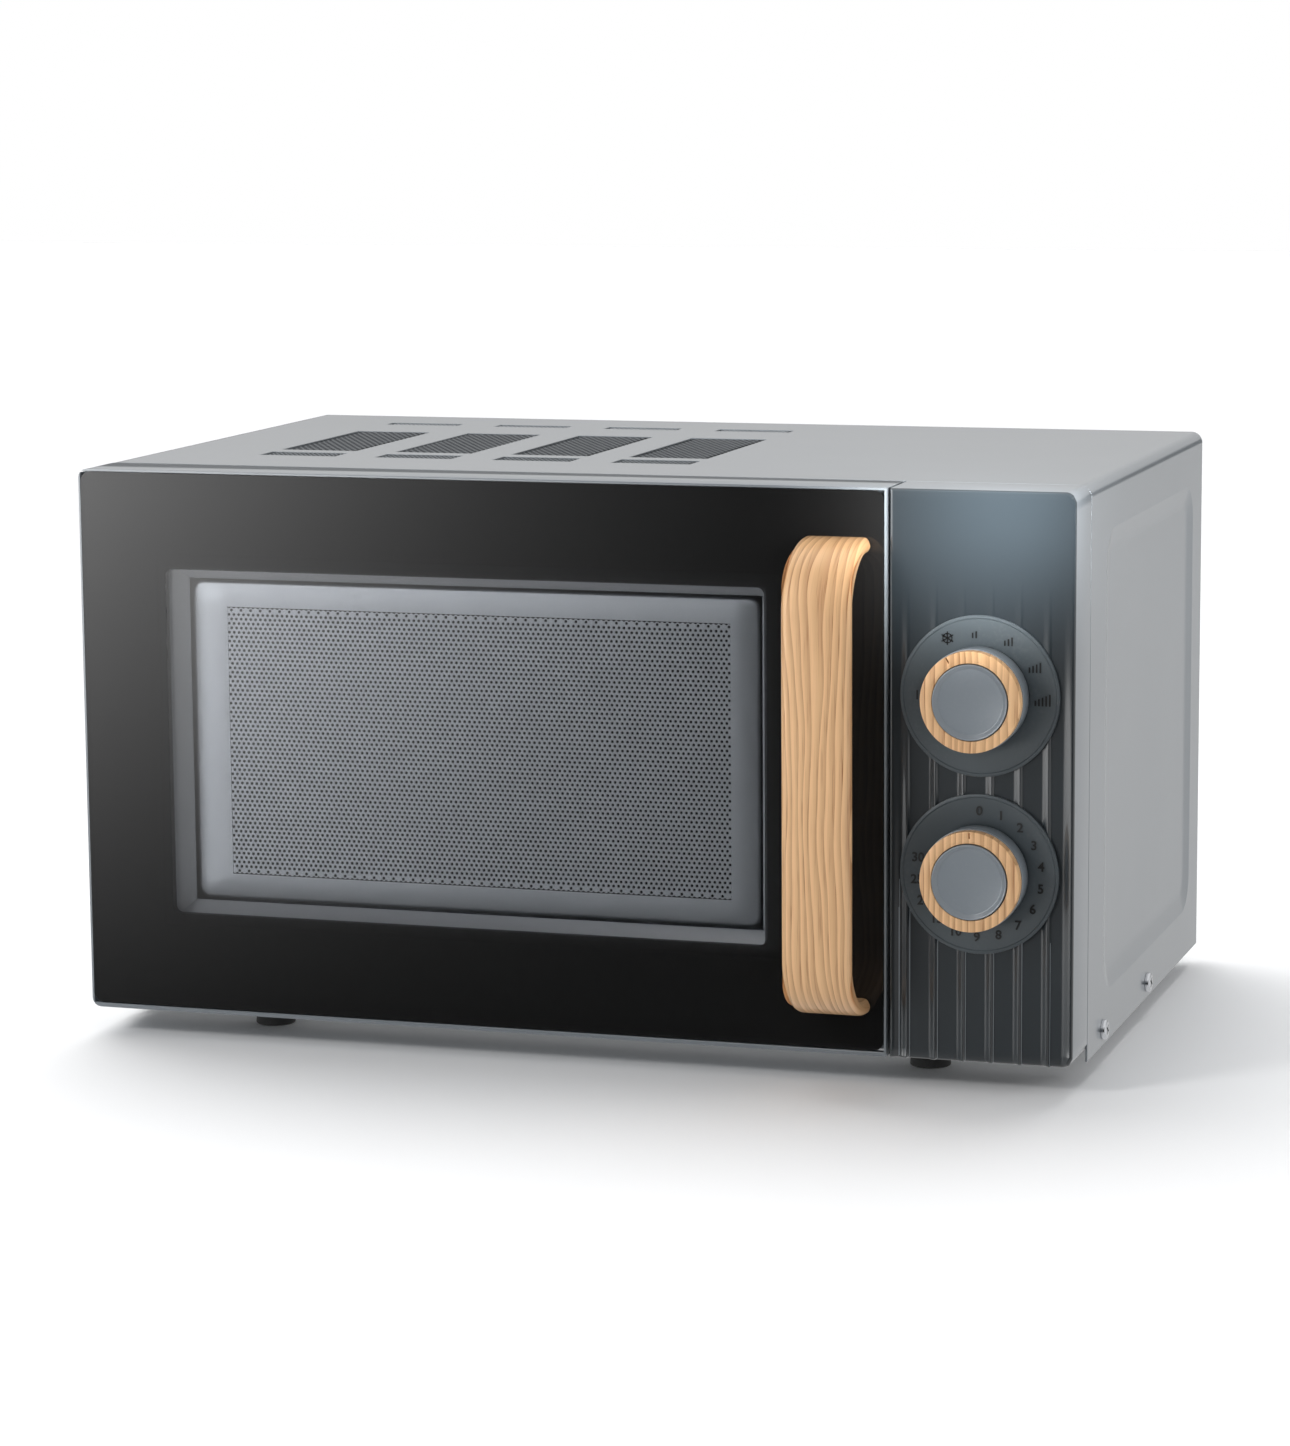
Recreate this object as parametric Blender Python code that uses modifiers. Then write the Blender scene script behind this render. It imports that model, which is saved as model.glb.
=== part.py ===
"""A mechanical countertop microwave oven, with two dials and a side-hinged door.

The oven stands on its feet at z = 0, its front towards -Y, and the origin is under the middle of
its bounding box. Every y in the functions below is a depth behind the plane of the door's glass,
and FRONT is where that plane lies. The oven's base, door, dials, turntable, fan and switches are
each made by their own functions, and each moving group hangs from an empty on its joint's axis.
"""

import math

import bmesh
import bpy
from mathutils import Matrix, Vector

# Casing
WIDTH = 0.440
HEIGHT = 0.250
BODY_DEPTH = 0.2815
FOOT_HEIGHT = 0.012
WRAPPER_BOTTOM = 0.008
CORNER_RADIUS = 0.005
SHEET = 0.001
GAP = 0.0003
HALF = WIDTH / 2

# Door and handle
DOOR_RIGHT = 0.1410
DOOR_BACK = 0.0290
DOOR_WALL = 0.0022
GLASS_THICKNESS = 0.0035
HANDLE_REACH = 0.035
HANDLE_WIDTH = 0.0295
HANDLE_X = 0.1200
HANDLE_BOTTOM = 0.0301
HANDLE_TOP = 0.2296
BAR_THICKNESS = 0.007
LEG_THICKNESS = 0.0065
HINGE_X = -0.2135
HINGE_Y = 0.011
HINGE_PIN = 0.002
HINGE_SLOT_Z = (0.0155, 0.0195)
WEB = (0.0038, 0.0058)

# Control side
PANEL_LEFT = 0.1425
PANEL_WALL = 0.0025
DIAL_X = 0.1806
POWER_Z = 0.1657
TIMER_Z = 0.0917
DIAL_RADIUS = 0.0334
KNOB_RADIUS = 0.0208
KNOB_REACH = 0.0195
SHAFT_RADIUS = 0.003
KNOB_SIDES = 36

# Steel body behind the door
BODY_FRONT = 0.0303
PLATE_Y = 0.0312
CAVITY_X = (-0.190, 0.110)
CAVITY_Y = (0.0327, 0.2660)
CAVITY_Z = (0.0320, 0.2255)
TRAY_FLOOR = 0.0125
BACK_Y = 0.2780
LINING = HALF - SHEET - 0.0005

# Turntable
TABLE_X = (CAVITY_X[0] + CAVITY_X[1]) / 2
TABLE_Y = (CAVITY_Y[0] + CAVITY_Y[1]) / 2
PLATE_RADIUS = 0.110
ROLLER_RADIUS = 0.0065
ROLLER_CIRCLE = 0.089
ROLLER_WIDTH = 0.005

# Latch, switches and fan
HOOK_X = (0.1250, 0.1300)
HOOK_HEIGHTS = (0.072, 0.190)
HOOK_END = 0.0500
HOOK_SLOT_X = (HOOK_X[0] - 0.0020, HOOK_X[1] + 0.0035)
LATCH_TOP = 0.1985
SPRING_SEAT_Z = (0.2185, 0.2205)
FAN_X = 0.1710
FAN_Z = 0.1560
FAN_RADIUS = 0.037

# Side screws, cord gland and transformer
SCREW_DEPTHS = (0.0616, 0.1585)
SCREW_Z = 0.0152
GLAND_X = 0.196
GLAND_Z = 0.040
GLAND_REACH = 0.006
TRANSFORMER = Vector((0.1720, 0.1100, 0.0485))

# The depth of the glass plane that puts the origin in the middle of the oven, front to back
FRONT = (HANDLE_REACH - BODY_DEPTH - GLAND_REACH) / 2

PARTS = bpy.data.collections.new("microwave_oven")
CUTTERS = bpy.data.collections.new("cutters")

# Each finish is an sRGB colour from 0 to 1, a roughness and a metallic value
FINISHES = {
    "grey_enamel": ((0.62, 0.64, 0.66), 0.35, 0.1),
    "grey_plastic": ((0.40, 0.42, 0.44), 0.45, 0.0),
    "black_glass": ((0.05, 0.05, 0.055), 0.06, 0.0),
    "oak": ((0.84, 0.66, 0.45), 0.5, 0.0),
    "zinc_steel": ((0.70, 0.71, 0.72), 0.35, 1.0),
    "cavity_enamel": ((0.60, 0.62, 0.62), 0.4, 0.0),
    "chrome": ((0.85, 0.85, 0.86), 0.12, 1.0),
    "black_rubber": ((0.06, 0.06, 0.06), 0.8, 0.0),
    "black_plastic": ((0.08, 0.08, 0.085), 0.5, 0.0),
    "white_plastic": ((0.85, 0.85, 0.82), 0.5, 0.0),
    "clear_glass": ((0.80, 0.86, 0.85), 0.05, 0.0),
    "aluminium": ((0.80, 0.81, 0.82), 0.3, 1.0),
    "copper": ((0.72, 0.38, 0.20), 0.35, 1.0),
    "lamination": ((0.25, 0.26, 0.28), 0.5, 0.9),
    "mica": ((0.66, 0.60, 0.48), 0.7, 0.0),
}


def linear(value):
    """The linear value of an sRGB one."""
    return value / 12.92 if value <= 0.04045 else ((value + 0.055) / 1.055) ** 2.4


def finish(name, node):
    """A node's own material, in one of the finishes above."""
    colour, roughness, metallic = FINISHES[name]
    made = bpy.data.materials.new(f"{node}_{name}")
    made.use_nodes = True
    shader = made.node_tree.nodes["Principled BSDF"]
    shader.inputs["Base Color"].default_value = (*map(linear, colour), 1.0)
    shader.inputs["Roughness"].default_value = roughness
    shader.inputs["Metallic"].default_value = metallic
    return made


def add(name, data, finish_name=None):
    """An object of this mesh or curve. Without a finish it's a helper that isn't rendered."""
    made = bpy.data.objects.new(name, data)
    if finish_name is None:
        CUTTERS.objects.link(made)
        made.hide_render = True
        made.display_type = "WIRE"
    else:
        PARTS.objects.link(made)
        data.materials.append(finish(finish_name, name))
    return made


def as_object(name, shape, finish_name=None):
    """An object of a bmesh, shaded smooth across its gentle edges."""
    mesh = bpy.data.meshes.new(name)
    bmesh.ops.recalc_face_normals(shape, faces=shape.faces)
    shape.to_mesh(mesh)
    shape.free()
    mesh.shade_smooth()
    mesh.set_sharp_from_angle(angle=math.radians(35))
    return add(name, mesh, finish_name)


def box_shape(x, y, z, shape=None):
    """A block between two x, two depths y and two heights z, in a bmesh of its own or a given one."""
    shape = shape or bmesh.new()
    spans = ((x[0], x[1]), (FRONT + y[0], FRONT + y[1]), (z[0], z[1]))
    middle = Matrix.Translation([(low + high) / 2 for low, high in spans])
    size = Matrix.Diagonal([high - low for low, high in spans]).to_4x4()
    bmesh.ops.create_cube(shape, size=1, matrix=middle @ size)
    return shape


def box(name, x, y, z, finish_name=None):
    """A plain block as an object."""
    return as_object(name, box_shape(x, y, z), finish_name)


def sheet(name, y, z, finish_name):
    """A flat sheet across the casing's inside, with its corners rounded to clear the folds."""
    shape = box_shape((-LINING, LINING), y, z)
    return as_object(name, round_corners(shape, 1, CORNER_RADIUS), finish_name)


def boxes(name, spans, finish_name=None):
    """Several blocks in one object, each given by its x, y and z."""
    shape = bmesh.new()
    for x, y, z in spans:
        box_shape(x, y, z, shape)
    return as_object(name, shape, finish_name)


def round_corners(shape, axis, radius, right=True, left=True, segments=4):
    """Rounds the edges of a block that run along an axis, on its right side, its left or both."""
    middle = sum((v.co.x for v in shape.verts), 0.0) / len(shape.verts)
    chosen = []
    for edge in shape.edges:
        along = edge.verts[1].co - edge.verts[0].co
        on_right = edge.verts[0].co.x > middle
        if abs(along[axis]) > 0.9 * along.length and (right if on_right else left):
            chosen.append(edge)
    bmesh.ops.bevel(
        shape, geom=chosen, offset=radius, segments=segments, profile=0.5, affect="EDGES"
    )
    return shape


def rod_shape(axis, centre, radius, span, sides=24, shape=None):
    """A cylinder along x, y or z. The centre gives the other two places, in x, y, z order."""
    shape = shape or bmesh.new()
    middle = (span[0] + span[1]) / 2
    first, second = centre
    place, turn = {
        "x": ((middle, FRONT + first, second), Matrix.Rotation(math.pi / 2, 4, "Y")),
        "y": ((first, FRONT + middle, second), Matrix.Rotation(math.pi / 2, 4, "X")),
        "z": ((first, FRONT + second, middle), Matrix.Identity(4)),
    }[axis]
    bmesh.ops.create_cone(
        shape,
        cap_ends=True,
        segments=sides,
        radius1=radius,
        radius2=radius,
        depth=span[1] - span[0],
        matrix=Matrix.Translation(place) @ turn,
    )
    return shape


def rod(name, axis, centre, radius, span, finish_name=None, sides=24):
    """A cylinder as an object."""
    return as_object(name, rod_shape(axis, centre, radius, span, sides), finish_name)


def boolean(target, other, operation):
    """A Boolean modifier with a helper."""
    modifier = target.modifiers.new(f"{operation.lower()}_{other.name}", "BOOLEAN")
    modifier.operation = operation
    modifier.solver = "EXACT"
    modifier.object = other
    return target


def cut(target, *cutters):
    """Takes the cutters' shapes out of a part."""
    for cutter in cutters:
        boolean(target, cutter, "DIFFERENCE")
    return target


def join(target, *extras):
    """Makes one body of a part and the helpers that overlap it."""
    for extra in extras:
        boolean(target, extra, "UNION")
    return target


def solidify(target, thickness):
    """Gives an open shell a wall that grows inwards."""
    modifier = target.modifiers.new("wall", "SOLIDIFY")
    modifier.thickness = thickness
    modifier.offset = -1
    modifier.use_even_offset = True
    return target


def open_side(shape, direction):
    """Takes away the face of a block that looks in this direction."""
    towards = Vector(direction)
    shape.normal_update()
    faces = [face for face in shape.faces if face.normal.dot(towards) > 0.9]
    bmesh.ops.delete(shape, geom=faces, context="FACES")
    return shape


def turned(name, profile, place, finish_name=None, forward=False, steps=32, closed=False):
    """A profile of (radius, height) points turned about Z, or about -Y when it faces forward.

    The profile runs down the outer side, from the top. A closed one is the section of a ring.
    """
    shape = bmesh.new()
    points = [shape.verts.new((radius, 0, height)) for radius, height in profile]
    for first, second in zip(points, points[1:]):
        shape.edges.new((first, second))
    if closed:
        shape.edges.new((points[-1], points[0]))
    mesh = bpy.data.meshes.new(name)
    shape.to_mesh(mesh)
    shape.free()
    made = add(name, mesh, finish_name)
    modifier = made.modifiers.new("turn", "SCREW")
    modifier.steps = steps
    modifier.render_steps = steps
    modifier.use_merge_vertices = True
    modifier.merge_threshold = 0.00001
    modifier.use_smooth_shade = True
    x, y, z = place
    made.location = (x, FRONT + y, z)
    if forward:
        made.rotation_euler = (math.pi / 2, 0, 0)
    return made


def mesh_of(curve_object, finish_name):
    """A mesh object in place of a curve, so that it can be cut."""
    bpy.context.view_layer.update()
    graph = bpy.context.evaluated_depsgraph_get()
    mesh = bpy.data.meshes.new_from_object(curve_object.evaluated_get(graph))
    place = curve_object.matrix_world.copy()
    name = curve_object.name
    bpy.data.objects.remove(curve_object)
    shape = bmesh.new()
    shape.from_mesh(mesh)
    bmesh.ops.remove_doubles(shape, verts=shape.verts, dist=0.00001)
    shape.transform(place)
    bpy.data.meshes.remove(mesh)
    return as_object(name, shape, finish_name)


def hang_on(name, place, nodes):
    """An empty on a joint's axis, which carries these parts and the helpers that shape them."""
    x, y, z = place
    empty = bpy.data.objects.new(name, None)
    empty.location = (x, FRONT + y, z)
    empty.empty_display_size = 0.01
    PARTS.objects.link(empty)
    carried = list(nodes)
    for node in nodes:
        carried += [m.object for m in node.modifiers if m.type == "BOOLEAN"]
    for child in dict.fromkeys(carried):
        child.parent = empty
        child.matrix_parent_inverse = Matrix.Translation(-Vector(empty.location))
    return empty


# The casing


def outer_wrapper():
    """The folded sheet over the top and both sides, with four fields of slots in its top."""
    shape = box_shape((-HALF, HALF), (BODY_FRONT, BODY_DEPTH), (WRAPPER_BOTTOM, HEIGHT))
    for direction in ((0, -1, 0), (0, 1, 0), (0, 0, -1)):
        open_side(shape, direction)
    folds = [
        edge
        for edge in shape.edges
        if all(vert.co.z > HEIGHT - SHEET for vert in edge.verts)
        and abs(edge.verts[0].co.x - edge.verts[1].co.x) < SHEET
    ]
    bmesh.ops.bevel(
        shape, geom=folds, offset=CORNER_RADIUS, segments=4, profile=0.5, affect="EDGES"
    )
    wrapper = solidify(as_object("outer_wrapper", shape, "grey_enamel"), SHEET)
    cut(wrapper, vent_cutter(), screw_hole_cutter("wrapper_screw_holes"))
    return wrapper


def vent_cutter():
    """The slots over the cavity: four columns, each of nine slots."""
    first, pitch, length = -0.1515, 0.0547, 0.036
    slot, step = 0.005, 0.01075
    x = (first - length / 2, first + length / 2)
    cutter = box("vent_slots", x, (0.1090, 0.1090 + slot), (HEIGHT - 0.004, HEIGHT + 0.004))
    for name, count, offset in (("rows", 9, (0, step, 0)), ("columns", 4, (pitch, 0, 0))):
        array = cutter.modifiers.new(name, "ARRAY")
        array.count = count
        array.use_relative_offset = False
        array.use_constant_offset = True
        array.constant_offset_displace = offset
    return cutter


def screw_hole_cutter(name):
    """Clearance holes for the four side screws, as rods right through both sides."""
    shape = bmesh.new()
    for depth in SCREW_DEPTHS:
        for side in (-1, 1):
            span = sorted((side * (HALF - 0.006), side * (HALF + 0.004)))
            rod_shape("x", (depth, SCREW_Z), 0.0022, span, 12, shape)
    return as_object(name, shape)


def side_screws():
    """Pan-head screws that fix the wrapper to the tray's upturned edges."""
    head, head_height, shank = 0.0043, 0.0020, 0.0017
    for side, side_name in ((-1, "left"), (1, "right")):
        for depth, end_name in zip(SCREW_DEPTHS, ("front", "rear")):
            face = HALF + GAP
            name = f"side_screw_{side_name}_{end_name}"
            top = face + head_height
            shape = rod_shape("x", (depth, SCREW_Z), head, sorted((side * face, side * top)), 20)
            rim = [
                edge
                for edge in shape.edges
                if all(abs(vert.co.x) > face + head_height / 2 for vert in edge.verts)
            ]
            bmesh.ops.bevel(
                shape, geom=rim, offset=0.0010, segments=2, profile=0.5, affect="EDGES"
            )
            screw = as_object(name, shape, "chrome")
            span = sorted((side * (face + 0.001), side * (HALF - 0.005)))
            join(screw, rod(f"{name}_shank", "x", (depth, SCREW_Z), shank, span, sides=10))


def back_panel():
    """The rear sheet, with the fan's inlet slots, the outlet slots and the cord's hole."""
    panel = sheet("back_panel", (BACK_Y, BACK_Y + SHEET), (0.0150, 0.2482), "zinc_steel")
    rows = range(-3, 4)
    slots = [
        ((FAN_X - 0.030, FAN_X + 0.030), (BACK_Y - 0.003, BACK_Y + 0.004), (z - 0.002, z + 0.002))
        for z in (FAN_Z + 0.0105 * row for row in rows)
    ]
    outlet = [
        ((x0, x0 + 0.004), (BACK_Y - 0.003, BACK_Y + 0.004), (0.170, 0.205))
        for x0 in (-0.185 + 0.010 * column for column in range(8))
    ]
    hole = rod("gland_hole", "y", (GLAND_X, GLAND_Z), 0.0072, (BACK_Y - 0.004, BACK_Y + 0.004))
    return cut(panel, boxes("back_slots", slots + outlet), hole)


def base_plate():
    """The tray under everything, with its edges turned up."""
    shape = box_shape((-LINING, LINING), (0.0345, 0.2770), (TRAY_FLOOR, TRAY_FLOOR + 0.012))
    open_side(shape, (0, 0, 1))
    tray = solidify(as_object("base_plate", shape, "zinc_steel"), SHEET)
    return cut(tray, screw_hole_cutter("tray_screw_holes"))


def feet():
    """Four round rubber feet."""
    top = TRAY_FLOOR - GAP
    profile = [(0, top), (0.0074, top), (0.0088, 0.0025), (0.0080, 0), (0, 0)]
    for name, x, depth in (
        ("foot_front_left", -0.150, 0.0415),
        ("foot_front_right", 0.150, 0.0415),
        ("foot_rear_left", -0.150, 0.245),
        ("foot_rear_right", 0.150, 0.245),
    ):
        turned(name, profile, (x, depth, 0), "black_rubber", steps=24)


def cord_gland():
    """The moulded bush in the rear sheet that the mains cord would pass through."""
    inner, neck, flange = 0.0037, 0.0068, 0.0095
    back = -(BODY_DEPTH + GLAND_REACH)
    groove_back = -(BACK_Y + SHEET + GAP)
    groove_front = -(BACK_Y - GAP)
    front = groove_front + 0.002
    profile = [
        (inner, front),
        (flange, front),
        (flange, groove_front),
        (neck, groove_front),
        (neck, groove_back),
        (flange, groove_back),
        (flange, groove_back - 0.002),
        (neck, back),
        (inner, back),
    ]
    place = (GLAND_X, 0, GLAND_Z)
    turned("cord_gland", profile, place, "black_rubber", forward=True, steps=20, closed=True)


def front_plate():
    """The steel sheet that frames the cavity's mouth, with slots for the hooks and the hinges."""
    plate = sheet("front_plate", (PLATE_Y, PLATE_Y + SHEET), (0.0140, 0.2480), "zinc_steel")
    through = (PLATE_Y - 0.003, PLATE_Y + 0.004)
    holes = [
        (CAVITY_X, through, CAVITY_Z),
        ((0.1500, 0.2130), through, (0.0220, 0.2400)),
    ]
    holes += [(HOOK_SLOT_X, through, hook_slot_z(z)) for z in HOOK_HEIGHTS]
    holes += [((-HALF, HINGE_X + 0.005), through, mirrored(HINGE_SLOT_Z, up)) for up in (True, False)]
    return cut(plate, boxes("front_plate_holes", holes))


def cavity():
    """The enamelled box that food stands in, open at the front."""
    x = (CAVITY_X[0] - SHEET, CAVITY_X[1] + SHEET)
    z = (CAVITY_Z[0] - SHEET, CAVITY_Z[1] + SHEET)
    shape = box_shape(x, (PLATE_Y + SHEET + GAP, CAVITY_Y[1] + SHEET), z)
    open_side(shape, (0, -1, 0))
    liner = solidify(as_object("cavity", shape, "cavity_enamel"), SHEET)
    shaft = rod("cavity_shaft_hole", "z", (TABLE_X, TABLE_Y), 0.007, (0.020, 0.040))
    feed = ((CAVITY_X[1] - 0.004, CAVITY_X[1] + 0.004), (0.135, 0.200), (0.160, 0.205))
    lamp_slots = [
        ((CAVITY_X[1] - 0.004, CAVITY_X[1] + 0.004), (y, y + 0.003), (0.165, 0.195))
        for y in (0.083, 0.090, 0.097)
    ]
    outlet = [
        ((CAVITY_X[0] - 0.004, CAVITY_X[0] + 0.004), (y, y + 0.003), (0.175, 0.205))
        for y in (0.200, 0.207, 0.214, 0.221)
    ]
    return cut(liner, shaft, boxes("cavity_openings", [feed, *lamp_slots, *outlet]))


# The control side


def control_panel():
    """The fluted front moulding beside the door, open at the back."""
    shape = box_shape((PANEL_LEFT, HALF), (0, DOOR_BACK + 0.0005), (FOOT_HEIGHT, HEIGHT))
    round_corners(shape, 1, CORNER_RADIUS, left=False)
    panel = as_object("control_panel", shape, "grey_plastic")
    hollow = box(
        "panel_hollow",
        (PANEL_LEFT + PANEL_WALL, HALF - PANEL_WALL),
        (PANEL_WALL, DOOR_BACK + 0.010),
        (FOOT_HEIGHT + PANEL_WALL, HEIGHT - PANEL_WALL),
    )
    flutes = boxes(
        "panel_flutes",
        [
            ((x - 0.0006, x + 0.0006), (-0.005, 0.0009), (FOOT_HEIGHT - 0.002, 0.205))
            for x in (0.1510 + 0.01185 * i for i in range(6))
        ],
    )
    cut(panel, hollow, flutes)
    for name, z in (("power", POWER_Z), ("timer", TIMER_Z)):
        recess = rod(
            f"{name}_recess", "y", (DIAL_X, z), DIAL_RADIUS + 2 * GAP, (-0.005, 0.0011), sides=KNOB_SIDES
        )
        cut(panel, recess, rod(f"{name}_panel_hole", "y", (DIAL_X, z), 0.006, (-0.005, 0.010)))
    return panel


def dial_plate(name, z):
    """A thin disc behind a knob, which carries its scale."""
    front, back = -0.0010, 0.0008
    profile = [
        (0.0045, -front),
        (DIAL_RADIUS - 0.0004, -front),
        (DIAL_RADIUS, -front - 0.0004),
        (DIAL_RADIUS, -back),
        (0.0045, -back),
    ]
    place = (DIAL_X, 0, z)
    turned(name, profile, place, "grey_plastic", forward=True, steps=KNOB_SIDES, closed=True)


def knob(kind, z, notch_angle):
    """A dial's knob on its shaft: the barrel, the oak ring round its face, and the cap."""
    place = (DIAL_X, 0, z)
    ring_back, ring_front = 0.0138, 0.0187
    ring_inner, cap_radius = 0.0160, 0.0156
    hub, bore_end = 0.0062, 0.0110
    barrel = turned(
        f"{kind}_knob_barrel",
        [
            (0, ring_back - GAP),
            (KNOB_RADIUS, ring_back - GAP),
            (KNOB_RADIUS + 0.0004, 0.0022),
            (KNOB_RADIUS - 0.0014, 0.0022),
            (KNOB_RADIUS - 0.0018, bore_end),
            (hub, bore_end),
            (hub, 0.0040),
            (0, 0.0040),
        ],
        place,
        "grey_plastic",
        forward=True,
        steps=KNOB_SIDES,
    )
    cut(
        barrel,
        rod(f"{kind}_bore", "y", (DIAL_X, z), SHAFT_RADIUS + GAP, (-0.0103, 0.0), sides=16),
    )
    ring = turned(
        f"{kind}_knob_ring",
        [
            (ring_inner, ring_front),
            (KNOB_RADIUS - 0.0012, ring_front),
            (KNOB_RADIUS, ring_front - 0.0012),
            (KNOB_RADIUS, ring_back),
            (ring_inner, ring_back),
        ],
        place,
        "oak",
        forward=True,
        steps=KNOB_SIDES,
        closed=True,
    )
    notch = box(
        f"{kind}_notch",
        (DIAL_X + KNOB_RADIUS - 0.0032, DIAL_X + KNOB_RADIUS + 0.002),
        (-ring_front - 0.002, -ring_front + 0.0008),
        (z - 0.0006, z + 0.0006),
    )
    centre = Vector((DIAL_X, FRONT, z))
    turn = Matrix.Rotation(-notch_angle, 4, "Y")
    notch.data.transform(Matrix.Translation(centre) @ turn @ Matrix.Translation(-centre))
    cut(ring, notch)
    cap = turned(
        f"{kind}_knob_cap",
        [
            (0, KNOB_REACH),
            (cap_radius - 0.0008, KNOB_REACH),
            (cap_radius, KNOB_REACH - 0.0008),
            (cap_radius, ring_back),
            (0, ring_back),
        ],
        place,
        "grey_plastic",
        forward=True,
        steps=KNOB_SIDES,
    )
    shaft = rod(f"{kind}_shaft", "y", (DIAL_X, z), SHAFT_RADIUS, (-0.0100, 0.0200), "zinc_steel", 16)
    hang_on(f"{kind}_knob_axis", place, [barrel, ring, cap, shaft])


def gearbox(name, z, size, depth):
    """The switch case behind a dial: a block with a bush in front and terminals behind."""
    half = size / 2
    x, y = (DIAL_X - half, DIAL_X + half), (PANEL_WALL + 0.0023, PANEL_WALL + 0.0023 + depth)
    case = box(name, x, y, (z - half, z + half), "white_plastic")
    bush = rod(f"{name}_bush", "y", (DIAL_X, z), 0.0056, (0.0020, 0.008))
    tabs = boxes(
        f"{name}_tabs",
        [
            ((DIAL_X + dx - 0.003, DIAL_X + dx + 0.003), (y[1] - 0.002, y[1] + 0.008), (z, z + 0.001))
            for dx in (-0.014, 0.0, 0.014)
        ],
    )
    join(case, bush, tabs)
    return cut(case, rod(f"{name}_hole", "y", (DIAL_X, z), SHAFT_RADIUS + 0.0005, (-0.005, 0.0215)))


# The door


def handle_outline():
    """The handle's side outline as (depth, height): a bar whose ends bend back to the door.

    Each bend is a quarter of an ellipse, the outer one to the bar's front and the inner to its back.
    """
    middle = (HANDLE_TOP + HANDLE_BOTTOM) / 2
    reach = HANDLE_REACH - GAP
    outer_rise, inner_rise = 0.028, 0.0125
    inner_reach = reach - BAR_THICKNESS
    half_height = (HANDLE_TOP - HANDLE_BOTTOM) / 2
    steps = 6
    quarter = [math.pi / 2 * i / steps for i in range(steps + 1)]
    outer = [
        (-reach * math.sin(a), half_height - outer_rise * (1 - math.cos(a))) for a in quarter
    ]
    inner_top = half_height - LEG_THICKNESS
    inner = [
        (-inner_reach * math.sin(a), inner_top - inner_rise * (1 - math.cos(a))) for a in quarter
    ]
    upper = inner[::-1]
    lower = [(depth, -height) for depth, height in inner]
    lower_outer = [(depth, -height) for depth, height in outer[::-1]]
    upper_outer = outer[:]
    outline = upper_outer + lower_outer + lower + upper
    return [(depth, middle + height) for depth, height in outline]


def door_handle():
    """The oak grip, with a pilot hole in the end of each leg."""
    rounding = 0.0024
    curve = bpy.data.curves.new("door_handle", "CURVE")
    curve.dimensions = "2D"
    curve.fill_mode = "BOTH"
    curve.extrude = HANDLE_WIDTH / 2 - rounding
    curve.bevel_depth = rounding
    curve.bevel_resolution = 1
    curve.offset = -rounding
    spline = curve.splines.new("POLY")
    points = handle_outline()
    spline.points.add(len(points) - 1)
    for point, (depth, height) in zip(spline.points, points):
        point.co = (depth, height, 0, 1)
    spline.use_cyclic_u = True
    grip = bpy.data.objects.new("door_handle", curve)
    PARTS.objects.link(grip)
    upright = Matrix(((0, 0, 1), (1, 0, 0), (0, 1, 0))).to_4x4()
    grip.matrix_world = Matrix.Translation((HANDLE_X, FRONT - GAP, 0)) @ upright
    grip = mesh_of(grip, "oak")
    for z in handle_screw_heights():
        cut(grip, rod(f"grip_pilot_{z:.3f}", "y", (HANDLE_X, z), 0.0018, (-0.0135, 0.002), sides=10))
    return grip


def handle_screw_heights():
    """The heights of the screws in the handle's two legs."""
    inset = 0.0040
    return (HANDLE_BOTTOM + inset, HANDLE_TOP - inset)


def door_glass():
    """The black glass over the whole door, with holes for the handle's screws."""
    edge = 0.0012
    shape = box_shape(
        (-HALF + edge, DOOR_RIGHT - edge),
        (0, GLASS_THICKNESS),
        (FOOT_HEIGHT + 2 * edge, HEIGHT - edge),
    )
    round_corners(shape, 1, 0.0035, right=False)
    glass = as_object("door_glass", shape, "black_glass")
    for z in handle_screw_heights():
        hole = rod(f"glass_hole_{z:.3f}", "y", (HANDLE_X, z), 0.0022, (-0.003, 0.007), sides=12)
        cut(glass, hole)
    return glass


def mirrored(z, upper):
    """A height near the door's bottom, or the same distance below its top."""
    low, high = z
    if upper:
        return (HEIGHT + FOOT_HEIGHT - high, HEIGHT + FOOT_HEIGHT - low)
    return (low, high)


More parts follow.
